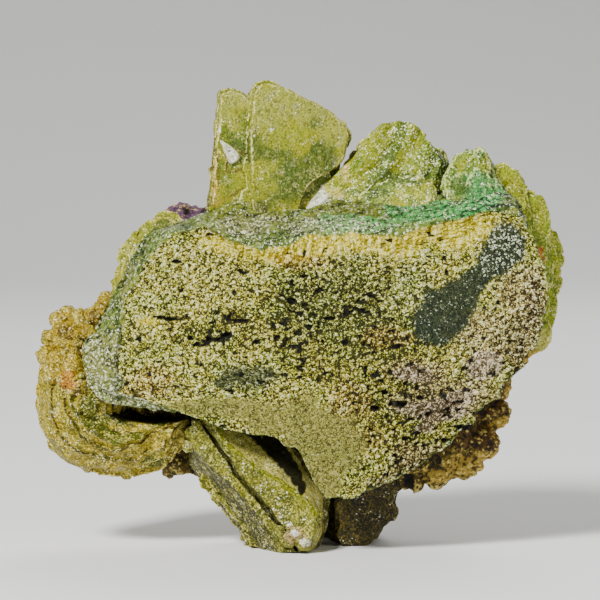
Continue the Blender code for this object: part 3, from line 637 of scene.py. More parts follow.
def makeCrust():                             # face, rim and flat back, then the frills and the small crystals
    columns, rows = crust["cells"]
    angle, radius, loop = roundGrid(columns, rows)
    face, masks, grain, pit = crustFace(angle, radius)
    rim, share, rimCell = crustRim(face[loop], angle[loop])
    rings = np.vstack([loop, len(face) + np.arange(len(rim)).reshape(-1, len(loop))])
    ahead = np.roll(rings, -1, axis=1)
    walls = np.stack([rings[:-1], rings[1:], ahead[1:], ahead[:-1]], axis=-1).reshape(-1, 4)
    back = np.insert([crust["middle"]], 1, crust["back"], axis=1)
    cap = np.stack([rings[-1], np.full(len(loop), len(face) + len(rim)), ahead[-1]], axis=-1)
    shell = (np.vstack([face, rim, back]), gridFaces(rows, columns, False).tolist() + walls.tolist() + cap.tolist())
    random = np.random.default_rng(5)
    frills = list(slabLamellae(crust["frills"], random))
    frillPoints, frillFaces = gathered([part[:2] for part in frills])
    near, _, value = grains(frillPoints, 1.6, 53)
    frillPoints[:, 1] -= (0.8 * billow(frillPoints, 1.6, 51) + 0.5 * billow(frillPoints, 5.0, 52)
                          + 0.8 * (0.5 - near) * value)
    piece = meshPiece("grainyCrust", *gathered([shell, (frillPoints, frillFaces)]))
    outwards(piece)

    def onRim(places, normals):              # thick on the rim where clouds say, thin along the face's edge
        behind = places[:, 1] - domed(places[:, [0, 2]])[:, 1]
        return smoothStep(1.0, 1.8, behind) * (places[:, 1] < -5.2) * smoothStep(-0.5, 0.5, cloud(places, 4.0, 33))

    small = smallCrystals(*scattered(triangles(piece), onRim, crust["druse"], random),
                          0.2 + 0.5 * random.random(crust["druse"]) ** 2, random)
    joined = gathered([(pointsOf(piece), facesOf(piece)), small])
    bpy.data.objects.remove(piece)
    piece = meshPiece("grainyCrust", *joined)
    sizes = (len(face), len(rim), 1, len(frillPoints), len(small[0]))

    def setEach(name, *values):              # values for the face, the rim, the back, the frills and the crystals
        setValue(piece, name, np.concatenate([np.broadcast_to(value, size) for value, size in zip(values, sizes)]))

    for name, mask in masks.items():
        setEach(name, mask, 0, 0, 0, 0)
    setEach("pit", pit, 0, 0, 0, 0)
    setEach("grain", grain, rimCell, 0.5, np.concatenate([part[3] for part in frills]),
            np.repeat(random.random(crust["druse"]), crystalPoints))
    setEach("druse", 0, 0, 0, 0, 1)
    setEach("band", 0.12 * smoothStep(0.98, 1.0, radius), np.minimum(1, 0.12 + 3 * share), 1, 1, 1)
    bent = convexity(piece, 2)[:len(face) + len(rim)]
    bent = np.clip(bent / np.percentile(bent, 96), -1.5, 1.5)
    setEach("edge", bent[:len(face)], bent[len(face):], 0, np.concatenate([part[2] for part in frills]), 0)
    for name in ("mint", "moss", "frost"):
        setValue(piece, name, patch(pointsOf(piece), crust[name], -8.0))
    return piece


def rimColour(paint, value, speck, pore, flow):  # streaked greens, with painted shade near black in its hollows and white specks as painted glints
    edge = paint.attribute("edge")
    rim = paint.mixed(paint.step(paint.noise(4.0, 4.0), 0.42, 0.58), shade(84, 102, 48), shade(126, 146, 78))
    rim = paint.mixed(paint.step(flow, 0.48, 0.66) * 0.75, rim, shade(166, 172, 94))
    rim = paint.mixed(paint.mottled("moss", 1.2) * 0.6, rim, shade(144, 148, 74))
    mint = paint.mixed(paint.step(flow + pore - 0.5, 0.38, 0.58), shade(40, 104, 62), shade(104, 184, 116))
    rim = paint.mixed(paint.mottled("mint", 1.2) * 0.75, rim, mint)
    rim = paint.mixed(paint.attribute("frost") * 0.35, rim, shade(160, 156, 116))
    rim = paint.mixed(paint.step(flow, 0.48, 0.36) * 0.85, rim, shade(26, 40, 18))
    rim = paint.mixed(paint.step(pore, 0.50, 0.38) * 0.6, rim, shade(20, 30, 12))
    # painted shade: the rim's hollows, where the convexity is below nought, near black
    rim = paint.mixed(paint.step(edge, -0.1, -1.0) * 0.85, rim, shade(10, 13, 5))
    rim = paint.mixed(paint.step(speck * 1.4 + value * 0.2, 0.66, 0.46) * 0.6, rim, shade(26, 32, 12))
    # painted glints: white specks, a little more on ridges and in the frost; the small crystals with the highest grain
    # value are painted near white, partly as painted glints
    white = paint.step(edge * 0.10 + value * 0.8 + speck * 0.8 + paint.attribute("frost") * 0.12, 1.08, 1.18)
    rim = paint.mixed(white * 0.85, rim, shade(240, 242, 214))
    facets = paint.mixed(paint.step(paint.attribute("grain"), 0.72, 1.0), rim, shade(240, 242, 218))
    return paint.mixed(paint.attribute("druse") * 0.8, rim, facets)


def crustPaint():
    paint = Paint("grainyCrust")
    grain = paint.attribute("grain")
    edge = paint.attribute("edge")
    porous = paint.attribute("porous")
    place = paint.warped(0.4, 0.14)
    near = paint.cells(0.26, "Distance", place)
    value = paint.cellValue(0.26, place)
    speck = paint.noise(0.15, 2.0)
    pore = paint.noise(0.6, 5.0)
    gold = paint.attribute("gold")
    fibres = paint.noise(0.5, 4.0, paint.squeezed((0.1, 0.4, 1.0), 8.0))
    tint = paint.mixed(paint.step(paint.noise(4.0, 4.0), 0.4, 0.6), shade(176, 178, 70), shade(200, 192, 92))
    tint = paint.mixed(paint.attribute("mossy") * 0.5, tint, shade(108, 130, 60))
    tint = paint.mixed(gold * 0.85, tint, shade(238, 222, 64))
    tint = paint.mixed(paint.attribute("orange") * 0.45, tint, shade(202, 158, 80))
    tint = paint.mixed(paint.attribute("pink") * 0.55, tint, shade(192, 162, 132))
    tint = paint.mixed(paint.attribute("brown") * 0.75, tint, shade(112, 84, 46))
    # edge, the convexity, lightens ridges and darkens hollows here: a little painted light and shade; the cells, specks
    # and pores are the grains' own tone
    light = value * 0.42 - near * 0.5 + grain * 0.25 + edge * 0.08 + speck * 0.75 + pore * 0.7 - porous * 0.10
    light = light + gold * (fibres * 1.8 - 0.84)
    body = paint.mixed(paint.step(light, 0.71, 0.81), paint.mixed(0.95 - gold * 0.3, tint, shade(14, 16, 2)), tint)
    pale = paint.mixed(0.80 - gold * 0.42, tint, shade(255, 253, 188))
    body = paint.mixed(paint.step(light, 0.86, 0.96) * 0.95, body, pale)
    # near-white grains: pale grains, partly painted glints
    body = paint.mixed(paint.step(light, 1.01, 1.09) * (0.85 - gold * 0.5), body, shade(255, 255, 228))
    shards = paint.step(paint.attribute("shards") + (pore + speck - 1) * 1.6, 0.35, 0.65)
    shard = paint.mixed(paint.step(light, 0.66, 0.96), shade(96, 84, 56), shade(232, 218, 198))
    body = paint.mixed(shards * 0.8, body, shard)
    olive = paint.step(speck * 0.8 + pore * 0.5 + value * 0.1, 0.56, 0.82)
    olive = paint.mixed(olive, shade(58, 62, 24), shade(164, 160, 98))
    body = paint.mixed(paint.step(paint.attribute("olive") + (pore + speck - 1) * 1.4, 0.15, 0.85) * 0.86, body, olive)
    dark = paint.mixed(paint.step(speck + fibres * 0.3, 0.62, 0.80) * 0.5, shade(22, 34, 22), shade(92, 110, 76))
    # painted glints: white specks on the dark spots, more of them in one ellipse at the upper right
    paintedGlint = paint.step(value * 0.8 + speck * 0.8 + paint.attribute("glintSpots") * 0.18, 1.16, 1.28)
    dark = paint.mixed(paintedGlint * 0.9, dark, shade(222, 230, 206))
    body = paint.mixed(paint.step(paint.attribute("dark") + (pore + speck - 1) * 1.2, 0.2, 0.75) * 0.95, body, dark)
    body = paint.mixed(paint.step(paint.attribute("lens") + (pore + speck - 1) * 1.8, 0.2, 0.9) * 0.72, body, dark)
    # painted shade: the pits, gaps between grains and slits near black
    body = paint.mixed(paint.step(paint.attribute("pit"), 0.4, 0.9) * 0.95, body, shade(8, 9, 2))
    flow = paint.noise(0.7, 5.0, paint.squeezed((0.9, 0.2, 0.3), 5.0))
    rim = rimColour(paint, value, speck, pore, flow)
    body = paint.mixed(paint.step(paint.attribute("band") + speck * 0.12, 0.08, 0.22), body, rim)
    height = value * 0.4 - near * 0.6 + speck * 0.5 + pore * 1.2 + flow * paint.attribute("band") * 3.0
    glossy = paint.step(paint.attribute("band") + paint.attribute("dark") * 0.3, 0.05, 0.3)
    return paint.finish(Base_Color=body, Roughness=0.68 - glossy * 0.3, Specular_IOR_Level=0.25,
                        Normal=paint.bump(height, 0.30, 1.0))


# The rock: a lumpy body with crumbly knobs, hollowed under the crust's lower left edge

rock = {
    "front": -4.7,
    "widest": 3.0,
    "back": 11.0,
    "middle": (3.0, 30.0),
    "cells": (121, 85),
    "squareness": 2.6,
    "taper": 0.12,
    "undercut": (9.0, 24.0, 9.0, 10.0),      # rise, top, right edge, blend
    "edge": [
        (-27.8, 30.0), (-27.2, 39.0), (-24.2, 46.2), (-19.8, 51.0), (-14.2, 51.4), (-8.2, 50.4),
        (0.0, 51.0), (8.0, 51.6), (16.0, 51.4), (24.0, 52.6), (30.2, 51.6), (34.0, 46.0),
        (36.0, 38.6), (35.4, 31.4), (32.8, 28.4), (30.4, 24.0), (29.0, 19.4), (27.4, 14.0),
        (24.6, 10.6), (18.8, 9.4), (13.4, 9.0), (7.4, 7.6), (0.4, 7.4), (-6.4, 8.2),
        (-13.0, 8.8), (-18.6, 10.6), (-23.0, 14.6), (-26.0, 20.6),
    ],
    "knobs": [
        (31.8, -1.5, 29.4, 2.5), (29.4, -2.6, 24.8, 2.4), (28.8, -0.6, 20.4, 2.6), (27.0, -2.4, 16.4, 2.4),
        (24.2, -1.2, 12.8, 2.5), (20.4, -2.8, 11.4, 2.2), (16.6, -1.6, 10.6, 2.0), (-17.6, 0.6, 49.0, 2.4),
        (27.0, 5.0, 25.0, 3.8), (-19.6, 2.0, 13.4, 3.0), (10.0, 8.6, 17.0, 4.4),
    ],
    "voxel": 0.42,
    # Patches of colour, as ellipses in the picture: middle, half width, half height
    "patches": {
        "tan": [(470, 462, 26, 12), (500, 425, 14, 14), (440, 474, 24, 8), (515, 395, 12, 14), (536, 345, 16, 18)],
        "mauve": [(188, 219, 30, 12)],
        "rust": [(488, 402, 24, 16), (470, 436, 30, 12)],
    },
}


def rockPlace(angle, radius, depth):
    # The outline's point, raised where it is low, left and forward, then drawn to the middle by radius
    flat = atAngles(rock["edge"], rock["edge"], rock["middle"], angle)
    rise, top, right, blend = rock["undercut"]
    forward = np.clip((rock["widest"] - depth) / (rock["widest"] - rock["front"]), 0, 1)
    low = np.clip((top - flat[:, 1]) / blend, 0, 1)
    left = np.clip((right - flat[:, 0]) / blend, 0, 1)
    flat[:, 1] += rise * forward * low * left
    flat = rock["middle"] + (flat - rock["middle"]) * radius[:, None]
    return np.stack([flat[:, 0], depth, flat[:, 1]], axis=-1)


def knobSurface(knob, rough=0.0):
    # A sphere of latitude and longitude, swollen and dented by clouds and by cells; its poles are single points
    *middle, size = knob
    rows, columns = 24, 36
    lat = np.linspace(-math.pi / 2, math.pi / 2, rows + 2)[1:-1, None]
    lon = np.linspace(0, 2 * math.pi, columns, endpoint=False)[None]
    ball = np.stack([np.cos(lat) * np.cos(lon), np.cos(lat) * np.sin(lon), np.sin(lat) + 0 * lon], axis=-1)
    ball = np.vstack([ball.reshape(-1, 3), [[0, 0, -1]], [[0, 0, 1]]])
    points = middle + size * ball
    near, _, value = grains(points, 0.8, 31)
    swell = 1 + 0.3 * billow(points, 0.9 * size, 30) + rough * (0.5 - near) * (0.4 + value)
    points = middle + size * ball * swell[:, None]
    return points, cappedFaces(rows, columns)


def rockBody():
    # Back: a disc that bulges as the root of 1 less its radius to a power. Wall: the edge's depth runs forward
    # while its radius shrinks with the square of the share. Front: flat.
    columns, rows = rock["cells"]
    angle, radius, loop = roundGrid(columns, rows)
    bulge = np.sqrt(np.clip(1 - radius ** rock["squareness"], 0, 1))
    back = rockPlace(angle, radius, rock["widest"] + (rock["back"] - rock["widest"]) * bulge)
    rings = [loop]
    points = [back]
    for share in np.linspace(0, 1, 16)[1:]:
        depth = np.full(len(loop), rock["widest"] + (rock["front"] - rock["widest"]) * share)
        points.append(rockPlace(angle[loop], np.full(len(loop), 1 - rock["taper"] * share ** 2), depth))
        rings.append(len(back) + (len(rings) - 1) * len(loop) + np.arange(len(loop)))
    rings = np.array(rings)
    ahead = np.roll(rings, -1, axis=1)
    walls = np.stack([rings[:-1], rings[1:], ahead[1:], ahead[:-1]], axis=-1).reshape(-1, 4)
    return np.vstack(points), gridFaces(rows, columns, False).tolist() + walls.tolist() + [rings[-1].tolist()]


def makeRock():
    parts = [rockBody()] + [knobSurface(knob) for knob in rock["knobs"]]
    piece = meshPiece("matrixRock", *gathered(parts))
    outwards(piece)
    fused(piece, rock["voxel"])
    points, normals = pointsOf(piece), normalsOf(piece)
    free = smoothStep(rock["front"] + 0.2, rock["front"] + 1.6, points[:, 1])
    near, _, value = grains(points, 2.6, 2)
    fine, _, fineValue = grains(points, 0.95, 4)
    height = 1.1 * billow(points, 5.5, 8) + 0.9 * (0.6 - near) + 0.8 * (0.55 - fine) * (0.4 + fineValue)
    # holes, pushed in here, which the paint turns near black as painted shade in them
    hole = smoothStep(0.3, 0.55, billow(points, 2.8, 17))
    height -= 1.0 * hole
    setPoints(piece, points + normals * (free * height)[:, None])
    edge = convexity(piece, 3)
    setValue(piece, "edge", np.clip(edge / np.percentile(edge, 97), -1.5, 1.5))
    setValue(piece, "hole", hole)
    for name, spots in rock["patches"].items():
        setValue(piece, name, patch(points, spots, -1.0) * (points[:, 1] < 8))
    return piece


def rockPaint():
    paint = Paint("matrixRock")
    tone = paint.noise(4.5, 4.0)
    fine = paint.noise(0.8, 4.0)
    body = paint.mixed(paint.step(tone, 0.36, 0.64), shade(58, 48, 22), shade(104, 88, 44))
    body = paint.mixed(paint.step(fine, 0.45, 0.7) * 0.6, body, shade(122, 112, 56))
    body = paint.mixed(paint.mottled("tan", 1.4) * 0.75, body, shade(170, 148, 84))
    body = paint.mixed(paint.mottled("rust", 1.4) * 0.7, body, shade(84, 60, 34))
    body = paint.mixed(paint.attribute("mauve") * 0.95, body, shade(104, 78, 100))
    # edge, the convexity, lightens ridges and darkens hollows here: partly painted light and shade; the rest is the
    # rock's own grain
    light = paint.cellValue(0.36, paint.warped(0.4, 0.2)) * 0.4 + fine * 0.8 + paint.attribute("edge") * 0.16
    body = paint.mixed(paint.step(light, 0.62, 0.46) * 0.85, body, shade(14, 12, 4))
    body = paint.mixed(paint.step(light, 0.74, 0.90) * 0.65, body, shade(214, 198, 134))
    # painted shade: the holes near black
    body = paint.mixed(paint.step(paint.attribute("hole"), 0.2, 0.9) * 0.9, body, shade(12, 10, 4))
    height = fine + (1 - paint.cells(0.5, "Distance")) * 0.5
    return paint.finish(Base_Color=body, Roughness=0.62 + fine * 0.3, Specular_IOR_Level=0.25,
                        Normal=paint.bump(height, 0.3, 0.8))


# Sheaves: each plate is a few thin lamellae with scalloped edges, drawn in towards the sheaf's root by turns.
# A plate is its outline from the front, the depth of its middle, its thickness, and its yaw and pitch. A slab is
# the same, with its outline drawn in the picture, its raggedness and its tone. A nub is a pixel, a depth and a size.
# Patches are ellipses in the picture, and an empty list is a tone that only slabs and facets are marked with.
# A blade is a ridged surface across rails: see lower_blade. What the crust overhangs is painted in shade, near black,
# inside ellipses given for it.

tones = {
    "lime": shade(146, 150, 26), "deep": shade(72, 92, 36), "teal": shade(46, 130, 76),
    "gold": shade(164, 142, 18), "orange": shade(206, 104, 30), "white": shade(250, 248, 236),
    "cream": shade(204, 192, 120), "brown": shade(100, 84, 28), "khaki": shade(158, 160, 88),
    # sand is a pale sandy colour, and on lower_blade's smooth facet also painted light
    "sand": shade(200, 192, 124), "pink": shade(190, 168, 130), "rust": shade(104, 82, 10),
    # gap is painted shade, near black, for cracks and crevices; shadow is painted shade too
    "amber": shade(184, 130, 34), "shadow": shade(50, 48, 18), "gap": shade(12, 12, 3),
}

sheaves = {
    "upper_left_blade": {
        "slot": "olive_crystal", "root": (-5.0, 46.5), "layer": 1.1, "inset": 0.06, "steps": (0.6,),
        "small": 160, "grow": (0.0, 0.0, 1.0), "grainy": 0.16, "draw": 2.0, "mottle": 0.45, "bend": 0.45,
        "druse": 0.25,
        "body": (shade(112, 124, 40), shade(152, 152, 58), shade(80, 98, 34)), "rim": shade(220, 212, 150),
        "depth": -1.0, "glintLevel": 0.99, "crumbs": [(315, 198, 22, 14), (268, 205, 30, 8)],
        "patches": {
            "khaki": [(284, 106, 50, 22), (232, 104, 18, 18), (334, 132, 18, 20)],
            "deep": [(300, 176, 34, 16), (262, 150, 30, 14), (322, 158, 16, 18), (284, 190, 30, 10), (310, 128, 8, 7)],
            "lime": [(256, 182, 16, 20), (296, 134, 18, 14), (240, 192, 10, 20), (274, 138, 12, 10),
                     (262, 168, 12, 12)],
            # a crevice painted near black as shade
            "gap": [(276, 203, 18, 7)],
            "gold": [(216, 190, 3, 30)],
            "brown": [(226, 178, 2, 34), (236, 166, 2, 26), (219, 160, 2, 20)],
            # a painted highlight: white where a smooth facet reflects
            "white": [(220, 128, 2, 6)],
        },
        "slabs": [
            ([(246, 180), (246, 140), (252, 100), (254, 90), (258, 85), (266, 82), (278, 84), (290, 91), (304, 99),
              (318, 106), (332, 114), (345, 123), (353, 131), (350, 146), (345, 160), (335, 170), (312, 182),
              (300, 194), (294, 222), (246, 222)], -3.2, 2.6, 13, -3, 0.25, ""),
            ([(210, 220), (212, 170), (215, 140), (217, 110), (218, 96), (221, 90), (232, 88), (243, 91), (251, 98),
              (257, 106), (262, 140), (262, 220)], -3.8, 2.4, 13, -4, 0.25, ""),
            ([(209, 218), (211, 165), (213, 135), (218, 128), (222, 160), (221, 218)], -4.8, 1.2, -16, 0, 0.4, "brown"),
            ([(220, 218), (222, 160), (227, 140), (233, 152), (236, 175), (236, 218)], -5.2, 1.2, 26, 0, 0.4, "brown"),
            # a small plate painted white: a painted reflection of a smooth facet
            ([(218, 137), (225, 140), (232, 145), (240, 154), (239, 158), (233, 162), (229, 162), (225, 151)],
             -5.9, 0.9, 10, 0, 0.1, "white"),
        ],
        "plates": [
            ([(-14.4, 46.5), (-14.2, 56.0), (-13.2, 68.4), (-12.0, 69.4), (-9.4, 69.2), (-7.7, 68.0),
              (-1.0, 66.4), (4.6, 60.4), (4.0, 53.2), (0.0, 46.5)], -2.4, 3.4, 16, -4),
            ([(-11.6, 46.5), (-11.0, 60.0), (-7.9, 68.2), (-7.3, 69.6), (-6.0, 70.5), (-3.6, 70.2),
              (-1.8, 68.9), (2.4, 67.0), (5.2, 65.2), (7.4, 64.2), (8.2, 62.8), (6.8, 60.4), (5.6, 57.0),
              (2.6, 51.0), (0.0, 46.5)], 0.2, 3.6, 13, -2),
            ([(-12.8, 46.5), (-13.4, 54.0), (-13.6, 58.6), (-12.8, 60.6), (-6.0, 64.6), (3.2, 63.4),
              (6.7, 59.6), (5.6, 54.0), (2.0, 46.5)], 3.2, 3.8, 12, 2),
            ([(-11.0, 46.5), (-12.0, 56.0), (-9.0, 62.0), (-2.0, 66.0), (4.0, 63.0), (3.0, 54.0),
              (-1.0, 46.5)], 6.4, 3.2, 8, 8),
        ],
    },
    "upper_middle_fan": {
        "slot": "olive_crystal", "root": (21.0, 44.0), "layer": 0.9, "inset": 0.08,
        "steps": (0.92, 0.82, 0.72, 0.6, 0.5),
        "small": 420, "grow": (0.6, 0.0, 0.8), "grainy": 0.25, "draw": 7.0, "mottle": 0.5, "bend": 0.5, "druse": 0.7,
        "body": (shade(118, 134, 40), shade(160, 162, 58), shade(78, 108, 40)), "rim": shade(232, 232, 150),
        "depth": -2.0, "glintLevel": 0.93,
        "patches": {
            "lime": [(372, 150, 30, 10), (390, 134, 20, 10), (350, 182, 24, 8)],
            "cream": [(345, 168, 6, 12), (330, 192, 12, 6)],
            "deep": [(436, 153, 8, 6), (400, 178, 30, 8), (372, 192, 24, 5)],
            "white": [(312, 199, 20, 11), (302, 188, 6, 8)],
        },
        "crumbs": [(314, 199, 22, 10), (302, 188, 8, 10)],
        "blades": [{"columns": 120, "jitter": 0.3, "along": (0.62, 0.0, 0.78), "rails": [
            ([(296, 208), (322, 184), (345, 165), (361, 146), (370, 129)], -1.6, 12, 0.5, ""),
            ([(310, 212), (337, 190), (358, 167), (374, 143), (383, 122)], -4.4, 10, 0.3, "lime"),
            ([(330, 214), (353, 191), (374, 167), (388, 145), (396, 120)], -3.8, 8, 0, "deep"),
            ([(346, 215), (367, 193), (387, 170), (400, 148), (409, 121)], -5.2, 10, 0.3, "lime"),
            ([(372, 214), (388, 195), (402, 176), (412, 156), (420, 128)], -4.6, 9, 0, ""),
            ([(396, 212), (406, 197), (416, 181), (424, 163), (429, 143)], -5.4, 9, 0.3, ""),
            ([(418, 210), (426, 195), (434, 179), (440, 163), (437, 147)], -4.6, 9, 0, "deep"),
            ([(440, 208), (446, 193), (450, 177), (451, 165), (448, 157)], -2.6, 6, 0.4, ""),
            ([(430, 208), (436, 191), (440, 173), (438, 160), (434, 148)], 1.5, 8, 0, ""),
            ([(310, 210), (334, 186), (352, 167), (366, 150), (375, 134)], 1.5, 5, 0, ""),
        ]}],
        "plates": [
            ([(-1.6, 47.0), (2.2, 52.8), (5.4, 56.4), (8.6, 59.0), (13.6, 59.4), (17.6, 57.6),
              (20.4, 54.2), (18.0, 47.0)], -3.0, 2.8, -6, -16),
            ([(1.4, 47.0), (4.9, 56.0), (7.2, 59.4), (8.8, 62.2), (10.8, 63.7), (13.6, 64.5), (15.6, 64.4),
              (17.9, 63.4), (19.2, 61.6), (20.3, 58.0), (18.0, 47.0)], -0.2, 3.2, -4, -8),
            ([(9.0, 47.0), (11.6, 57.0), (16.6, 60.2), (20.4, 61.3), (21.9, 59.8), (22.6, 57.0),
              (21.8, 53.0), (19.0, 47.0)], 2.6, 3.0, -10, -4),
            ([(2.4, 47.0), (5.0, 57.0), (9.4, 61.6), (14.8, 62.6), (18.6, 59.0), (18.0, 47.0)], 5.4, 3.2, 4, 8),
        ],
    },
    "upper_right_blades": {
        "slot": "green_crystal", "root": (28.0, 48.0), "layer": 0.9, "inset": 0.10, "steps": (0.85, 0.7),
        "small": 200, "grow": (-0.5, 0.0, 1.0), "grainy": 0.25, "draw": 4.0, "mottle": 0.7, "bend": 0.3, "druse": 0.3,
        "body": (shade(86, 114, 40), shade(132, 150, 56), shade(48, 98, 46)), "rim": shade(226, 230, 168),
        "depth": -5.0, "glintLevel": 0.958,
        "patches": {
            "teal": [(480, 188, 20, 22), (492, 196, 14, 16)], "lime": [(485, 163, 6, 12), (462, 164, 10, 8)],
            "deep": [(458, 186, 10, 10)],
        },
        "slabs": [
            ([(441, 180), (446, 170), (453, 160), (462, 152), (472, 151), (480, 160), (490, 174), (499, 190),
              (504, 204), (500, 214), (452, 214), (444, 196)], -6.9, 1.1, 6, -10, 0.35, ""),
            ([(462, 196), (468, 176), (476, 166), (484, 172), (494, 188), (500, 206), (474, 212)],
             -8.0, 1.0, -8, -12, 0.35, "teal"),
            ([(472, 152), (479, 148), (485, 150), (490, 159), (493, 170), (488, 176), (478, 163)],
             -6.2, 1.2, -10, -4, 0.2, ""),
        ],
        "plates": [
            ([(20.4, 49.0), (20.9, 56.4), (22.2, 58.4), (23.8, 59.8), (26.0, 60.2), (28.4, 57.6),
              (31.0, 52.6), (30.0, 49.0)], -5.0, 2.8, -12, -14),
            ([(24.2, 49.0), (24.8, 57.0), (25.6, 59.4), (26.6, 60.3), (27.8, 59.4), (29.8, 56.8),
              (31.6, 53.0), (30.6, 49.0)], -2.4, 3.0, -24, -6),
        ],
    },
    "right_fan": {
        "slot": "olive_crystal", "root": (27.0, 38.0), "layer": 0.9, "inset": 0.10, "steps": (0.86, 0.72),
        "small": 260, "grow": (0.3, 0.0, 1.0), "grainy": 0.35, "draw": 4.0, "mottle": 0.25, "bend": 0.35, "druse": 0.12,
        "body": (shade(128, 144, 48), shade(164, 174, 66), shade(84, 102, 34)), "rim": shade(240, 230, 160),
        "depth": 2.0, "glintLevel": 0.985,
        "patches": {
            "orange": [(540, 256, 4, 12)], "sand": [(538, 338, 18, 20)], "gold": [(528, 352, 8, 6)],
            "lime": [(512, 190, 12, 14), (538, 215, 8, 20)],
        },
        "slabs": [
            ([(490, 174), (496, 165), (508, 164), (521, 177), (529, 194), (531, 214), (534, 240), (526, 262),
              (500, 240)], -1.6, 1.6, 16, 4, 0.6, ""),
            ([(505, 178), (520, 184), (527, 200), (528, 230), (522, 250), (500, 230)], -2.8, 1.2, 12, 2, 0.6, ""),
            ([(516, 196), (530, 190), (543, 197), (548, 213), (550, 236), (549, 262), (546, 290), (542, 312),
              (534, 322), (520, 280)], 0.6, 1.7, 20, 4, 0.7, ""),
            ([(524, 330), (540, 318), (552, 326), (549, 344), (536, 354), (520, 352)], -2.0, 2.4, 10, 10, 0.8, ""),
        ],
        "plates": [
            ([(26.0, 44.0), (27.6, 56.8), (29.6, 57.8), (32.0, 57.6), (33.4, 56.4), (34.2, 54.2),
              (35.2, 48.0), (34.0, 38.0), (28.0, 38.0)], 1.4, 2.6, 22, 4),
            ([(27.0, 36.0), (29.4, 50.0), (33.2, 53.8), (35.8, 53.6), (37.1, 51.9), (38.5, 48.6),
              (39.2, 40.0), (36.4, 33.0), (30.0, 32.0)], 3.6, 2.8, 18, 2),
            ([(27.0, 32.0), (30.0, 45.0), (37.0, 49.7), (39.6, 46.8), (40.8, 43.2), (40.4, 40.2),
              (39.9, 37.4), (39.1, 34.4), (38.0, 31.2), (35.8, 28.6), (31.0, 28.2)], 6.2, 2.8, 14, 0),
            ([(28.0, 34.0), (29.0, 51.0), (33.0, 53.8), (37.0, 49.0), (38.6, 41.0), (34.0, 32.6)], 9.0, 3.0, 6, -6),
        ],
    },
    "left_rim_blade": {
        "slot": "olive_crystal", "root": (-17.0, 38.0), "layer": 1.2, "inset": 0.08, "steps": (0.85,),
        "small": 260, "grow": (-0.4, 0.0, 1.0), "grainy": 0.4, "draw": 4.0, "mottle": 0.4, "bend": 0.3, "druse": 0.3,
        "body": (shade(140, 144, 44), shade(164, 160, 56), shade(104, 112, 40)), "rim": shade(212, 206, 140),
        "depth": -3.0, "glintLevel": 0.97,
        "patches": {"lime": [(140, 247, 20, 24)], "deep": [(165, 232, 10, 12)]},
        "plates": [
            ([(-28.7, 36.8), (-29.2, 39.4), (-28.6, 42.8), (-27.7, 45.6), (-25.0, 48.6), (-22.4, 50.5),
              (-20.1, 51.2), (-17.0, 49.0), (-18.0, 37.0)], -2.6, 2.8, -14, -6),
            ([(-27.6, 34.0), (-28.0, 39.0), (-27.2, 43.8), (-24.0, 47.2), (-20.0, 48.6),
              (-17.0, 36.0)], 0.4, 3.4, -10, 4),
        ],
    },
    "left_sheaf": {
        "slot": "yellow_crystal", "root": (-20.0, 26.0), "centre": (-30.6, 17.6),
        "tuck": (-22.0, -7.4, 1.0),          # how far forward it may come when free, over the band, and in a hollow
        # under the crust's lower left edge: plates pushed back into a hollow, painted near black as shade
        "hollow": [(150, 411, 44, 11), (112, 406, 14, 7)], "layer": 0.95, "inset": 0.10, "steps": (0.88, 0.76, 0.62),
        "small": 260, "grow": (0.9, 0.0, 0.4), "grainy": 0.5, "draw": 4.0, "mottle": 0.5, "bend": 0.7, "druse": 0.35,
        "body": (shade(134, 126, 42), shade(168, 152, 60), shade(76, 84, 28)), "rim": shade(240, 226, 146),
        "depth": -4.0, "glintLevel": 0.97,
        "patches": {
            "gold": [(66, 368, 26, 34), (72, 325, 26, 20), (104, 305, 16, 14)],
            "rust": [(84, 345, 10, 10), (72, 388, 10, 10), (94, 318, 6, 10), (66, 330, 8, 8)],
            "amber": [(70, 378, 9, 9), (62, 384, 6, 8)],
            "cream": [(44, 400, 5, 44), (62, 430, 10, 8)],
            # dark green, and under the crust's ledge also painted shade
            "deep": [(92, 402, 12, 14), (110, 418, 24, 6), (150, 462, 18, 4), (120, 452, 30, 3)],
            "white": [(118, 470, 6, 2), (60, 402, 3, 2)], "gap": [], "shadow": [],
        },
        "nubs": [
            (58, 322, -3.0, 1.5), (68, 316, -2.4, 1.5), (80, 322, -3.4, 1.7), (62, 332, -4.4, 1.6),
            (76, 335, -4.8, 1.5), (92, 316, -2.6, 1.7), (104, 306, -2.2, 1.6), (52, 342, -4.6, 1.6),
            (64, 346, -5.8, 1.6), (88, 332, -5.0, 1.4), (78, 350, -6.4, 1.5), (48, 358, -5.2, 1.5),
            (60, 362, -6.6, 1.8), (74, 366, -7.2, 1.6), (66, 378, -7.4, 1.7), (52, 376, -6.6, 1.5),
            (78, 388, -7.2, 1.8), (92, 404, -6.6, 1.8), (84, 402, -7.4, 1.4), (106, 298, -3.4, 1.3),
        ],
        "blades": [{"columns": 170, "jitter": 0.5, "along": (0.9, 0.0, -0.3), "rails": [
            ([(54, 342), (43, 352), (40, 380), (41, 414), (46, 437), (60, 457), (86, 471), (114, 475), (140, 470),
              (163, 454), (180, 440), (191, 424)], -1.0, 12, 0, ""),
            ([(58, 346), (47, 357), (44, 384), (45, 412), (51, 433), (65, 451), (90, 465), (116, 469), (140, 464),
              (161, 449), (177, 436), (188, 422)], -5.4, 8, 0.3, ""),
            # a narrow gap painted near black as shade
            ([(66, 352), (56, 367), (53, 388), (53, 410), (59, 429), (73, 444), (96, 457), (118, 462), (140, 457),
              (159, 445), (175, 433), (186, 420)], -7.0, 2, 0.2, "gap"),
            ([(69, 355), (59, 369), (55, 388), (55, 408), (61, 427), (75, 442), (97, 455), (118, 460), (140, 455),
              (158, 443), (174, 431), (185, 419)], -6.8, 9, 0, ""),
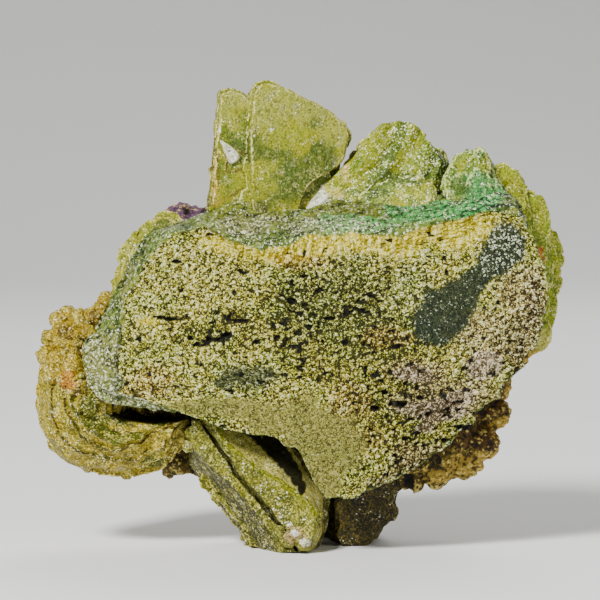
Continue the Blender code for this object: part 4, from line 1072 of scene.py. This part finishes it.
            ([(76, 362), (67, 376), (64, 392), (66, 407), (72, 422), (84, 435), (101, 447), (120, 451), (139, 447),
              (155, 437), (170, 428), (182, 418)], -8.2, 2, 0.3, "shadow"),
            ([(79, 365), (70, 378), (67, 392), (69, 406), (75, 420), (87, 433), (103, 444), (121, 448), (139, 444),
              (154, 435), (169, 426), (181, 417)], -7.8, 8, 0, ""),
            # the inner facets under the crust: dark green, partly painted shade
            ([(86, 374), (78, 384), (74, 396), (75, 408), (80, 420), (90, 430), (104, 440), (121, 445), (138, 441),
              (154, 433), (167, 425), (178, 416)], -8.8, 8, 0.2, "deep"),
            ([(94, 384), (89, 392), (86, 400), (87, 409), (91, 416), (99, 422), (109, 428), (122, 432), (137, 430),
              (151, 425), (163, 420), (174, 414)], -6.2, 5, 0, "deep"),
            ([(100, 384), (96, 392), (93, 400), (94, 407), (98, 412), (104, 417), (112, 421), (124, 425), (138, 424),
              (150, 420), (161, 417), (172, 411)], 0.0, 12, 0, ""),
        ]}],
        "plates": [
            ([(-37.8, 20.6), (-37.0, 27.0), (-34.6, 29.6), (-31.4, 28.6), (-28.0, 23.6), (-23.4, 17.4),
              (-18.8, 17.2), (-20.4, 15.0), (-24.6, 13.4), (-29.0, 13.2), (-33.2, 14.8),
              (-36.4, 17.2)], -5.4, 2.6, -12, 14),
            ([(-39.2, 19.8), (-38.7, 27.2), (-37.0, 30.2), (-32.4, 31.4), (-28.8, 27.4), (-23.4, 17.8),
              (-17.4, 18.0), (-18.4, 15.2), (-21.4, 12.6), (-25.0, 11.4), (-29.2, 11.4), (-33.2, 13.8),
              (-36.8, 16.2)], -3.2, 3.4, -10, 10),
            ([(-40.2, 22.8), (-39.9, 27.6), (-38.6, 30.4), (-36.9, 31.7), (-37.8, 33.8), (-36.6, 35.8),
              (-33.4, 35.8), (-29.0, 31.0), (-24.0, 17.8), (-18.6, 17.6), (-19.8, 13.4), (-24.6, 10.8),
              (-29.0, 10.3), (-33.4, 12.6), (-37.5, 15.3), (-39.8, 18.6)], -1.2, 4.6, -6, 6),
            ([(-38.6, 20.0), (-37.8, 29.6), (-35.4, 34.2), (-32.0, 35.8), (-29.0, 38.6), (-25.0, 37.0),
              (-22.0, 18.0), (-17.4, 16.4), (-20.4, 12.2), (-28.0, 11.4), (-34.0, 14.0)], 3.2, 4.6, 4, 0),
            ([(-36.6, 19.0), (-36.2, 28.0), (-32.4, 33.4), (-26.0, 34.6), (-21.0, 20.0), (-19.0, 13.6),
              (-26.0, 12.8), (-32.4, 14.6)], 7.2, 4.0, 14, -8),
        ],
    },
    "lower_blade": {
        "slot": "olive_crystal", "root": (-2.0, 20.0), "layer": 0.95, "inset": 0.08, "steps": (0.9, 0.78),
        "stands": True, "small": 260, "grow": (1.0, 0.0, -0.9), "grainy": 0.6, "draw": 6.0, "mottle": 0.4,
        "bend": 0.4, "druse": 0.45,
        "body": (shade(104, 108, 36), shade(132, 132, 56), shade(68, 76, 24)), "rim": shade(214, 206, 134),
        "depth": -8.0, "glintLevel": 0.972, "crumbs": [(296, 532, 14, 10), (204, 432, 12, 10)],
        # the crust's cast shadow on the blade: a tapering wedge of ellipses, painted near black
        "hollow": [(208 + 94 * t, 412 + 26 * t + 50 * t ** 3, 8 + 2 * t - 6 * t ** 8, 8 + 2 * t - 4 * t ** 8)
                   for t in np.linspace(0, 1, 18)],
        "patches": {
            "sand": [], "shadow": [(280, 456, 26, 18)], "lime": [(300, 497, 8, 4)], "pink": [(296, 532, 14, 12)],
            "gap": [],
            "white": [(284, 520, 12, 5), (305, 542, 6, 5), (294, 532, 4, 4)],
        },
        "nubs": [(288, 540, -10.4, 1.2), (298, 534, -10.6, 1.3), (306, 541, -10.0, 1.3), (292, 526, -10.6, 1.0),
                 (311, 528, -9.4, 1.2), (314, 519, -9.0, 1.1), (281, 533, -10.6, 1.0), (304, 523, -10.2, 1.0),
                 (190, 432, -8.6, 0.9), (187, 446, -8.4, 0.9), (196, 424, -9.0, 0.8)],
        # A rail is its places in the picture, its depth, the rows to the next one, how pale its edge is, and the
        # tone of the facet that starts at it
        "blades": [{"columns": 150, "jitter": 0.25, "along": (0.66, 0.0, -0.75), "rails": [
            ([(187, 434), (187, 464), (206, 487), (236, 526), (254, 552)], -2.6, 18, 0, "shadow"),
            ([(186, 431), (191, 446), (207, 464), (237, 492), (263, 519), (284, 552)], -9.8, 10, 0.5, ""),
            # a crack between facets, painted near black as shade
            ([(197, 420), (216, 450), (232, 475), (255, 500), (270, 517), (298, 552)], -9.6, 2, 0, "gap"),
            ([(199, 419), (218, 449), (234, 474), (257, 499), (272, 516), (300, 552)], -8.4, 2, 0, "gap"),
            ([(201, 418), (221, 447), (237, 471), (260, 496), (276, 513), (302, 552)], -11.2, 20, 0.4, ""),
            ([(206, 418), (230, 452), (254, 470), (282, 488), (302, 505), (314, 518), (313, 536), (306, 552)],
             -11.6, 5, 0, "lime"),
            # the smooth facet: pale sand, painted paler still as a lit face
            ([(209, 417), (234, 450), (257, 467), (286, 484), (306, 501), (317, 514), (316, 534), (309, 552)],
             -10.4, 14, 0, "sand"),
            ([(215, 415), (247, 427), (290, 447), (310, 479), (323, 499), (321, 530), (313, 552)],
             -5.4, 4, 0, "shadow"),
            ([(222, 412), (255, 424), (296, 446), (318, 478), (328, 500), (326, 530), (318, 552)], -2.5, 6, 0, ""),
        ]}],
        "plates": [
            ([(-17.0, 11.2), (-12.0, 15.0), (-2.0, 10.0), (3.6, 3.0), (2.4, -2.0), (-8.6, -2.0),
              (-9.2, 1.0), (-11.6, 4.6), (-14.6, 7.6)], -2.0, 4.8, 6, 6),
            ([(-14.8, 12.0), (-6.0, 14.0), (3.0, 6.0), (2.0, -2.0), (-8.0, -2.0), (-10.6, 3.0),
              (-14.0, 7.0)], 2.8, 5.4, -4, -4),
        ],
    },
    "rear_foot": {
        "slot": "olive_crystal", "root": (8.0, 13.0), "layer": 1.1, "inset": 0.10, "steps": (0.84, 0.66),
        "stands": True, "small": 160, "grow": (0.7, 0.0, -0.7), "grainy": 0.7, "draw": 4.0, "mottle": 0.7,
        "bend": 0.8, "druse": 0.3,
        "body": (shade(50, 45, 20), shade(80, 72, 36), shade(34, 31, 12)), "rim": shade(128, 116, 64),
        "depth": 1.0, "glintLevel": 0.98,
        "patches": {},
        "plates": [
            ([(3.6, 12.0), (11.2, 12.2), (15.0, 11.6), (15.2, 8.8), (14.2, 6.8), (14.6, 4.4),
              (13.0, 2.0), (9.8, -2.0), (4.8, -2.0)], 1.0, 5.0, 10, 6),
            ([(4.4, 12.4), (12.0, 13.0), (14.6, 9.0), (13.2, 3.0), (10.4, -2.0), (3.6, -2.0)], 6.2, 5.8, -6, -4),
            ([(2.4, 13.0), (9.0, 15.0), (12.6, 10.0), (11.6, 2.0), (8.6, -2.0), (0.6, -2.0)], 12.0, 6.4, -14, -10),
        ],
    },
}

# Back sheaves: coffin-shaped plates on edge, fanned about a line with its foot at root
# heading is where the fan points, from +X, lean and roll tip it, and turns spread the plates.

backSheaves = {
    "back_left_sheaf": {"root": (-14.0, 4.5, 20.0), "heading": 112, "lean": -8, "roll": 14, "reach": 19.0,
                        "height": 28.0, "thick": 4.4, "turns": (-40, -18, 6, 30)},
    "back_right_sheaf": {"root": (19.0, 4.0, 22.0), "heading": 70, "lean": -8, "roll": -14, "reach": 18.0,
                         "height": 28.0, "thick": 4.2, "turns": (-34, -12, 12, 36)},
    "back_upper_sheaf": {"root": (13.0, 4.0, 44.0), "heading": 94, "lean": -26, "roll": -84, "reach": 15.0,
                         "height": 25.0, "thick": 3.8, "turns": (-30, -6, 18)},
    "back_low_sheaf": {"root": (1.0, 5.0, 13.0), "heading": 86, "lean": 10, "roll": 6, "reach": 16.0,
                       "height": 18.0, "thick": 4.0, "turns": (-28, -4, 20)},
    "back_outer_sheaf": {"root": (22.0, 3.0, 12.6), "heading": 62, "lean": 4, "roll": -18, "reach": 12.0,
                         "height": 15.0, "thick": 3.2, "turns": (-26, -2, 24)},
    "back_middle_sheaf": {"root": (1.5, 4.5, 26.0), "heading": 92, "lean": -14, "roll": 4, "reach": 15.0,
                          "height": 19.0, "thick": 3.4, "turns": (-16, 8)},
}
backFinish = {
    "slot": "olive_crystal", "small": 160, "bend": 0.4, "druse": 0.25, "mottle": 0.5, "grainy": 0.3,
    "grow": (0.0, 1.0, 0.0),
    "body": (shade(112, 116, 50), shade(142, 142, 72), shade(80, 88, 38)), "rim": shade(206, 200, 146),
    "depth": 0.0, "glintLevel": 0.975, "patches": {}, "coffin": [(-0.5, 0.0), (-0.47, 0.5), (-0.28, 0.86), (0.0, 1.0),
                                                               (0.26, 0.9), (0.46, 0.56), (0.5, 0.0)],
}


def frontLamellae(sheaf, random):            # layers through each plate, then steps that climb towards the root
    for outline, depth, thick, yaw, pitch in sheaf["plates"]:
        outline = np.array(outline)
        middle = (outline.min(0) + outline.max(0)) / 2
        place = Matrix.Translation((middle[0], depth, middle[1])) @ turned(yaw, "Z") @ turned(90 + pitch, "X")
        root = np.array(sheaf["root"]) - middle
        centre = np.array(sheaf.get("centre", middle)) - middle
        count = max(2, round(thick / sheaf["layer"]))
        levels = np.linspace(-thick / 2, thick / 2, count + 1)
        full = random.integers(0, count)
        for i in range(count):
            size = 1 - (i != full) * random.uniform(0.2, 1) * sheaf["inset"]
            tilt = turned(random.normal(0, 1.3), "X") @ turned(random.normal(0, 1.3), "Y")
            yield lamella(root + (outline - middle - root) * size, centre, levels[i] - 0.1, levels[i + 1] + 0.1,
                          place @ tilt, random.integers(1, 999))
        for i, size in enumerate(sheaf["steps"]):
            size += random.uniform(-0.04, 0.04)
            tilt = turned(random.normal(0, 1.0), "X") @ turned(random.normal(0, 1.0), "Y")
            yield lamella(root + (outline - middle - root) * size, root + (centre - root) * size, thick / 2 - 0.3,
                          thick / 2 + 0.32 * (i + 1), place @ tilt, random.integers(1, 999))


def nubParts(nubs, random):                  # small crumbly lumps, at a pixel and a depth, with no pale edge
    for px, py, depth, size in nubs:
        x, z = fromPicture(px, py, depth)
        points, faces = knobSurface((x, depth, z, size), 0.35)
        yield points, faces, np.zeros(len(points)), np.full(len(points), random.random()), {}


def frontParts(sheaf, random):
    return itertools.chain(frontLamellae(sheaf, random), slabLamellae(sheaf.get("slabs", []), random),
                           nubParts(sheaf.get("nubs", []), random), map(ledges, sheaf.get("blades", [])))


def backLamellae(sheaf, random):
    for i, turn in enumerate(sheaf["turns"]):
        size = 1 - 0.07 * abs(i - 1.3)
        start = -1.5 * (1 + 0.25 * i)
        place = (Matrix.Translation(sheaf["root"]) @ turned(sheaf["heading"], "Z") @ turned(sheaf["lean"], "Y")
                 @ turned(sheaf["roll"], "X") @ turned(turn, "Z") @ turned(90, "X"))
        levels = np.linspace(-sheaf["thick"] / 2, sheaf["thick"] / 2, 5)
        centre = np.array([0.45 * sheaf["reach"] * size, 0.5 * sheaf["height"] * size])
        for j in range(4):
            scale = size * (1 - (j != 1 + i % 2) * random.uniform(0.02, 0.1))
            outline = [(start + v * (sheaf["reach"] * scale - start), (u + 0.5) * sheaf["height"] * size
                        + (scale - size) * u * sheaf["height"]) for u, v in backFinish["coffin"]]
            yield lamella(outline, centre, levels[j] - 0.1, levels[j + 1] + 0.1, place, random.integers(1, 999))


def makeSheaf(name, parts, finish, seed, random):
    parts = list(parts)
    points, faces = gathered([part[:2] for part in parts])
    points += finish["bend"] * np.stack([cloud(points, 8.0, seed + i) for i in range(3)], axis=-1)
    if finish.get("stands"):
        points[:, 2] = np.maximum(points[:, 2], 0)
    # ellipses of painted shade under the crust's overhang, in front only; with a tuck the plates are also pushed back
    # there
    hollow = patch(points, finish.get("hollow", []), finish["depth"], edge=0.25, wobble=0.25)
    hollow *= points[:, 1] < -1
    if "tuck" in finish:                     # bent back where it would lie over the crust's band, or fill a hollow
        free, inBand, inHollow = finish["tuck"]
        points[:, 1] = np.maximum(points[:, 1], free + (inBand - free) * smoothStep(1.13, 1.0, insideBand(points)))
        points[:, 1] = np.maximum(points[:, 1], free + (inHollow - free) * hollow)
    piece = meshPiece(name, points, faces)

    def crumbly(places, normals):            # where small crystals grow: in clouds, and in the sheaf's own places
        wanted = 0.04 + patch(places, finish.get("crumbs", []), finish["depth"])
        return wanted * smoothStep(0.0, 0.6, cloud(places, 3.5, seed) + finish["druse"]) * (places[:, 2] > 1)

    count = finish["small"]
    small = smallCrystals(*scattered(triangles(piece), crumbly, count, random),
                          0.2 + 0.5 * random.random(count) ** 2, random)
    bpy.data.objects.remove(piece)
    piece = meshPiece(name, *gathered([(points, faces), small]))
    points = pointsOf(piece)
    normals = normalsOf(piece)
    facing = smoothStep(-0.1, 0.5, -normals[:, 1])
    extra = np.zeros(len(small[0]))
    setValue(piece, "edge", np.concatenate([part[2] for part in parts] + [extra]))
    crystalTone = np.repeat(random.random(count), crystalPoints)
    setValue(piece, "tone", np.concatenate([part[3] for part in parts] + [crystalTone]))
    setValue(piece, "druse", np.concatenate([0 * part[2] for part in parts] + [1 + extra]))
    setValue(piece, "hollow", np.concatenate([hollow, extra]))
    for tone, spots in finish["patches"].items():
        marked = np.concatenate([part[4].get(tone, np.zeros(len(part[0]))) for part in parts] + [extra])
        setValue(piece, tone, np.maximum(patch(points, spots, finish["depth"]) * (0.25 + 0.75 * facing), marked))
    piece.data.materials.append(sheafPaint(name, finish))
    crisp(piece)
    return piece


def sheafPaint(name, finish):
    paint = Paint(name)
    mottle, grainy = finish["mottle"], finish["grainy"]
    along = paint.squeezed(finish["grow"], finish.get("draw", 5.0))
    streak = paint.noise(0.6, 5.0, along)
    fine = paint.noise(0.3, 4.0)
    blotch = paint.noise(1.2, 5.0)
    shape = paint.noise(3.4, 5.0)
    tone = paint.attribute("tone")
    value = paint.cellValue(0.17, paint.warped(0.3, 0.14))
    first, second, third = finish["body"]
    body = paint.mixed(paint.step(shape + tone * 0.12, 0.46, 0.64), first, second)
    for patchTone in finish["patches"]:
        body = paint.mixed(paint.mottled(patchTone, 1.9) * 0.8, body, tones[patchTone])
    body = paint.mixed(paint.step(streak + blotch, 0.98, 1.14) * (0.2 + 0.6 * mottle), body, third)
    body = paint.mixed(paint.step(blotch * 0.8 + fine * 0.5, 0.68, 0.8) * (0.10 + 0.25 * mottle), body, finish["rim"])
    body = paint.mixed(paint.step(fine * 0.7 + streak * 0.5, 0.62, 0.46) * (0.3 + 0.6 * mottle), body, shade(22, 24, 4))
    light = value * 0.35 + fine * 0.8 + blotch * 0.6
    body = paint.mixed(paint.step(light, 0.86, 0.72) * 0.85 * grainy, body, shade(18, 19, 3))
    body = paint.mixed(paint.step(light, 0.92, 1.06) * 0.75 * grainy, body, finish["rim"])
    # pale plate edges: the crystals' pale rims, partly a painted highlight along the edges
    edge = paint.attribute("edge")
    body = paint.mixed(paint.step(edge + (blotch + fine - 1) * 2.2, 0.7, 1.3) * 0.68, body, finish["rim"])
    # painted glints: white specks, thicker where a broad noise gathers them; below, the small crystals with the highest
    # tone are painted pale, partly as painted glints
    gather = paint.step(paint.noise(2.4, 3.0), 0.35, 0.7)
    paintedGlint = value + gather * 0.07 * (1 + finish["druse"])
    paintedGlint = paint.step(paintedGlint, finish["glintLevel"] + 0.03, finish["glintLevel"] + 0.07)
    body = paint.mixed(paintedGlint * 0.8, body, shade(250, 248, 226))
    facets = paint.mixed(paint.step(tone, 0.8, 1.0) * 0.9, body, shade(236, 234, 206))
    body = paint.mixed(paint.attribute("druse") * 0.85, body, facets)
    # painted shade, near black, under the crust's overhang
    body = paint.mixed(paint.step(paint.attribute("hollow"), 0.2, 0.8) * 0.96, body, shade(8, 7, 2))
    height = streak * 0.7 + fine * (0.2 + 0.4 * mottle) + value * 0.06 + shape * 1.2
    return paint.finish(Base_Color=body, Roughness=0.44 - paintedGlint * 0.2 + fine * 0.2, Specular_IOR_Level=0.25,
                        Normal=paint.bump(height, 0.30, 0.9))


# Stage: a pale floor that sweeps up behind, three soft lights and the camera

def makeFloor():                             # a flat run, a quarter circle and a wall, carried across
    turn = np.linspace(0, math.pi / 2, 25)
    path = np.vstack([[[-1500, 0]], np.stack([600 + 400 * np.sin(turn), 400 - 400 * np.cos(turn)], axis=-1),
                      [[1000, 1800]]])
    across = np.linspace(-2500, 2500, 2)
    points = np.array([[x, y, z] for y, z in path for x in across])
    piece = meshPiece("paleFloor", points, gridFaces(len(path), 2, False).tolist())
    piece.data.shade_smooth()
    paint = Paint("paleFloor")
    tone = paint.mixed(paint.noise(400.0, 1.0), (0.84, 0.84, 0.83), (0.87, 0.87, 0.86))
    piece.data.materials.append(paint.finish(Base_Color=tone, Roughness=0.8))


lights = {
    "key": {"place": (-0.30, -0.52, 0.50), "size": 0.16, "power": 11.0},
    "fill": {"place": (0.55, -0.50, 0.20), "size": 0.40, "power": 1.3},
    "back": {"place": (0.15, 0.45, 0.50), "size": 0.40, "power": 2.2},
}


def makeLights():
    aim = Vector((0, 0, 0.035))
    for name, light in lights.items():
        lamp = bpy.data.lights.new(name, "AREA")
        lamp.size = light["size"]
        lamp.energy = light["power"]
        thing = bpy.data.objects.new(name, lamp)
        thing.location = light["place"]
        thing.rotation_euler = (aim - thing.location).to_track_quat("-Z", "Y").to_euler()
        bpy.context.scene.collection.objects.link(thing)
    world = bpy.data.worlds.new("softRoom")
    world.use_nodes = True
    world.node_tree.nodes["Background"].inputs["Color"].default_value = (0.84, 0.83, 0.80, 1.0)
    world.node_tree.nodes["Background"].inputs["Strength"].default_value = 0.22
    bpy.context.scene.world = world


def makeCamera():
    lens = bpy.data.cameras.new("camera")
    lens.sensor_width = 36
    lens.lens = 36 * camera["distance"] / camera["span"]
    lens.clip_start = 0.01
    view = bpy.data.objects.new("camera", lens)
    tilt = math.radians(camera["elevation"])
    aim = Vector(camera["target"]) * mm
    view.location = aim + Vector((0, -math.cos(tilt), math.sin(tilt))) * camera["distance"] * mm
    view.rotation_euler = (aim - view.location).to_track_quat("-Z", "Y").to_euler()
    bpy.context.scene.collection.objects.link(view)
    bpy.context.scene.camera = view


makeCamera()
makeLights()
makeFloor()
print("stage ready")

crustPiece = makeCrust()
crustPiece.data.materials.append(crustPaint())
crustPiece.data.shade_smooth()
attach(crustPiece, "root")
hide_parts("crust")
print("crust ready,", len(crustPiece.data.vertices), "points")

rockPiece = makeRock()
rockPiece.data.materials.append(rockPaint())
rockPiece.data.shade_smooth()
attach(rockPiece, "root")
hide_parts("rock")
print("rock ready,", len(rockPiece.data.vertices), "points")

for seed, (node, sheaf) in enumerate(list(sheaves.items()) + list(backSheaves.items())):
    random = np.random.default_rng(50 + seed)
    isFront = node in sheaves
    finish = sheaf if isFront else backFinish
    parts = frontParts(sheaf, random) if isFront else backLamellae(sheaf, random)
    name = "".join(word.capitalize() for word in node.split("_"))
    piece = makeSheaf(name[0].lower() + name[1:] + "Crystals", parts, finish, seed * 11 + 3, random)
    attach(piece, "root")
    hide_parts(node)
    print(piece.name, "ready,", len(piece.data.vertices), "points")
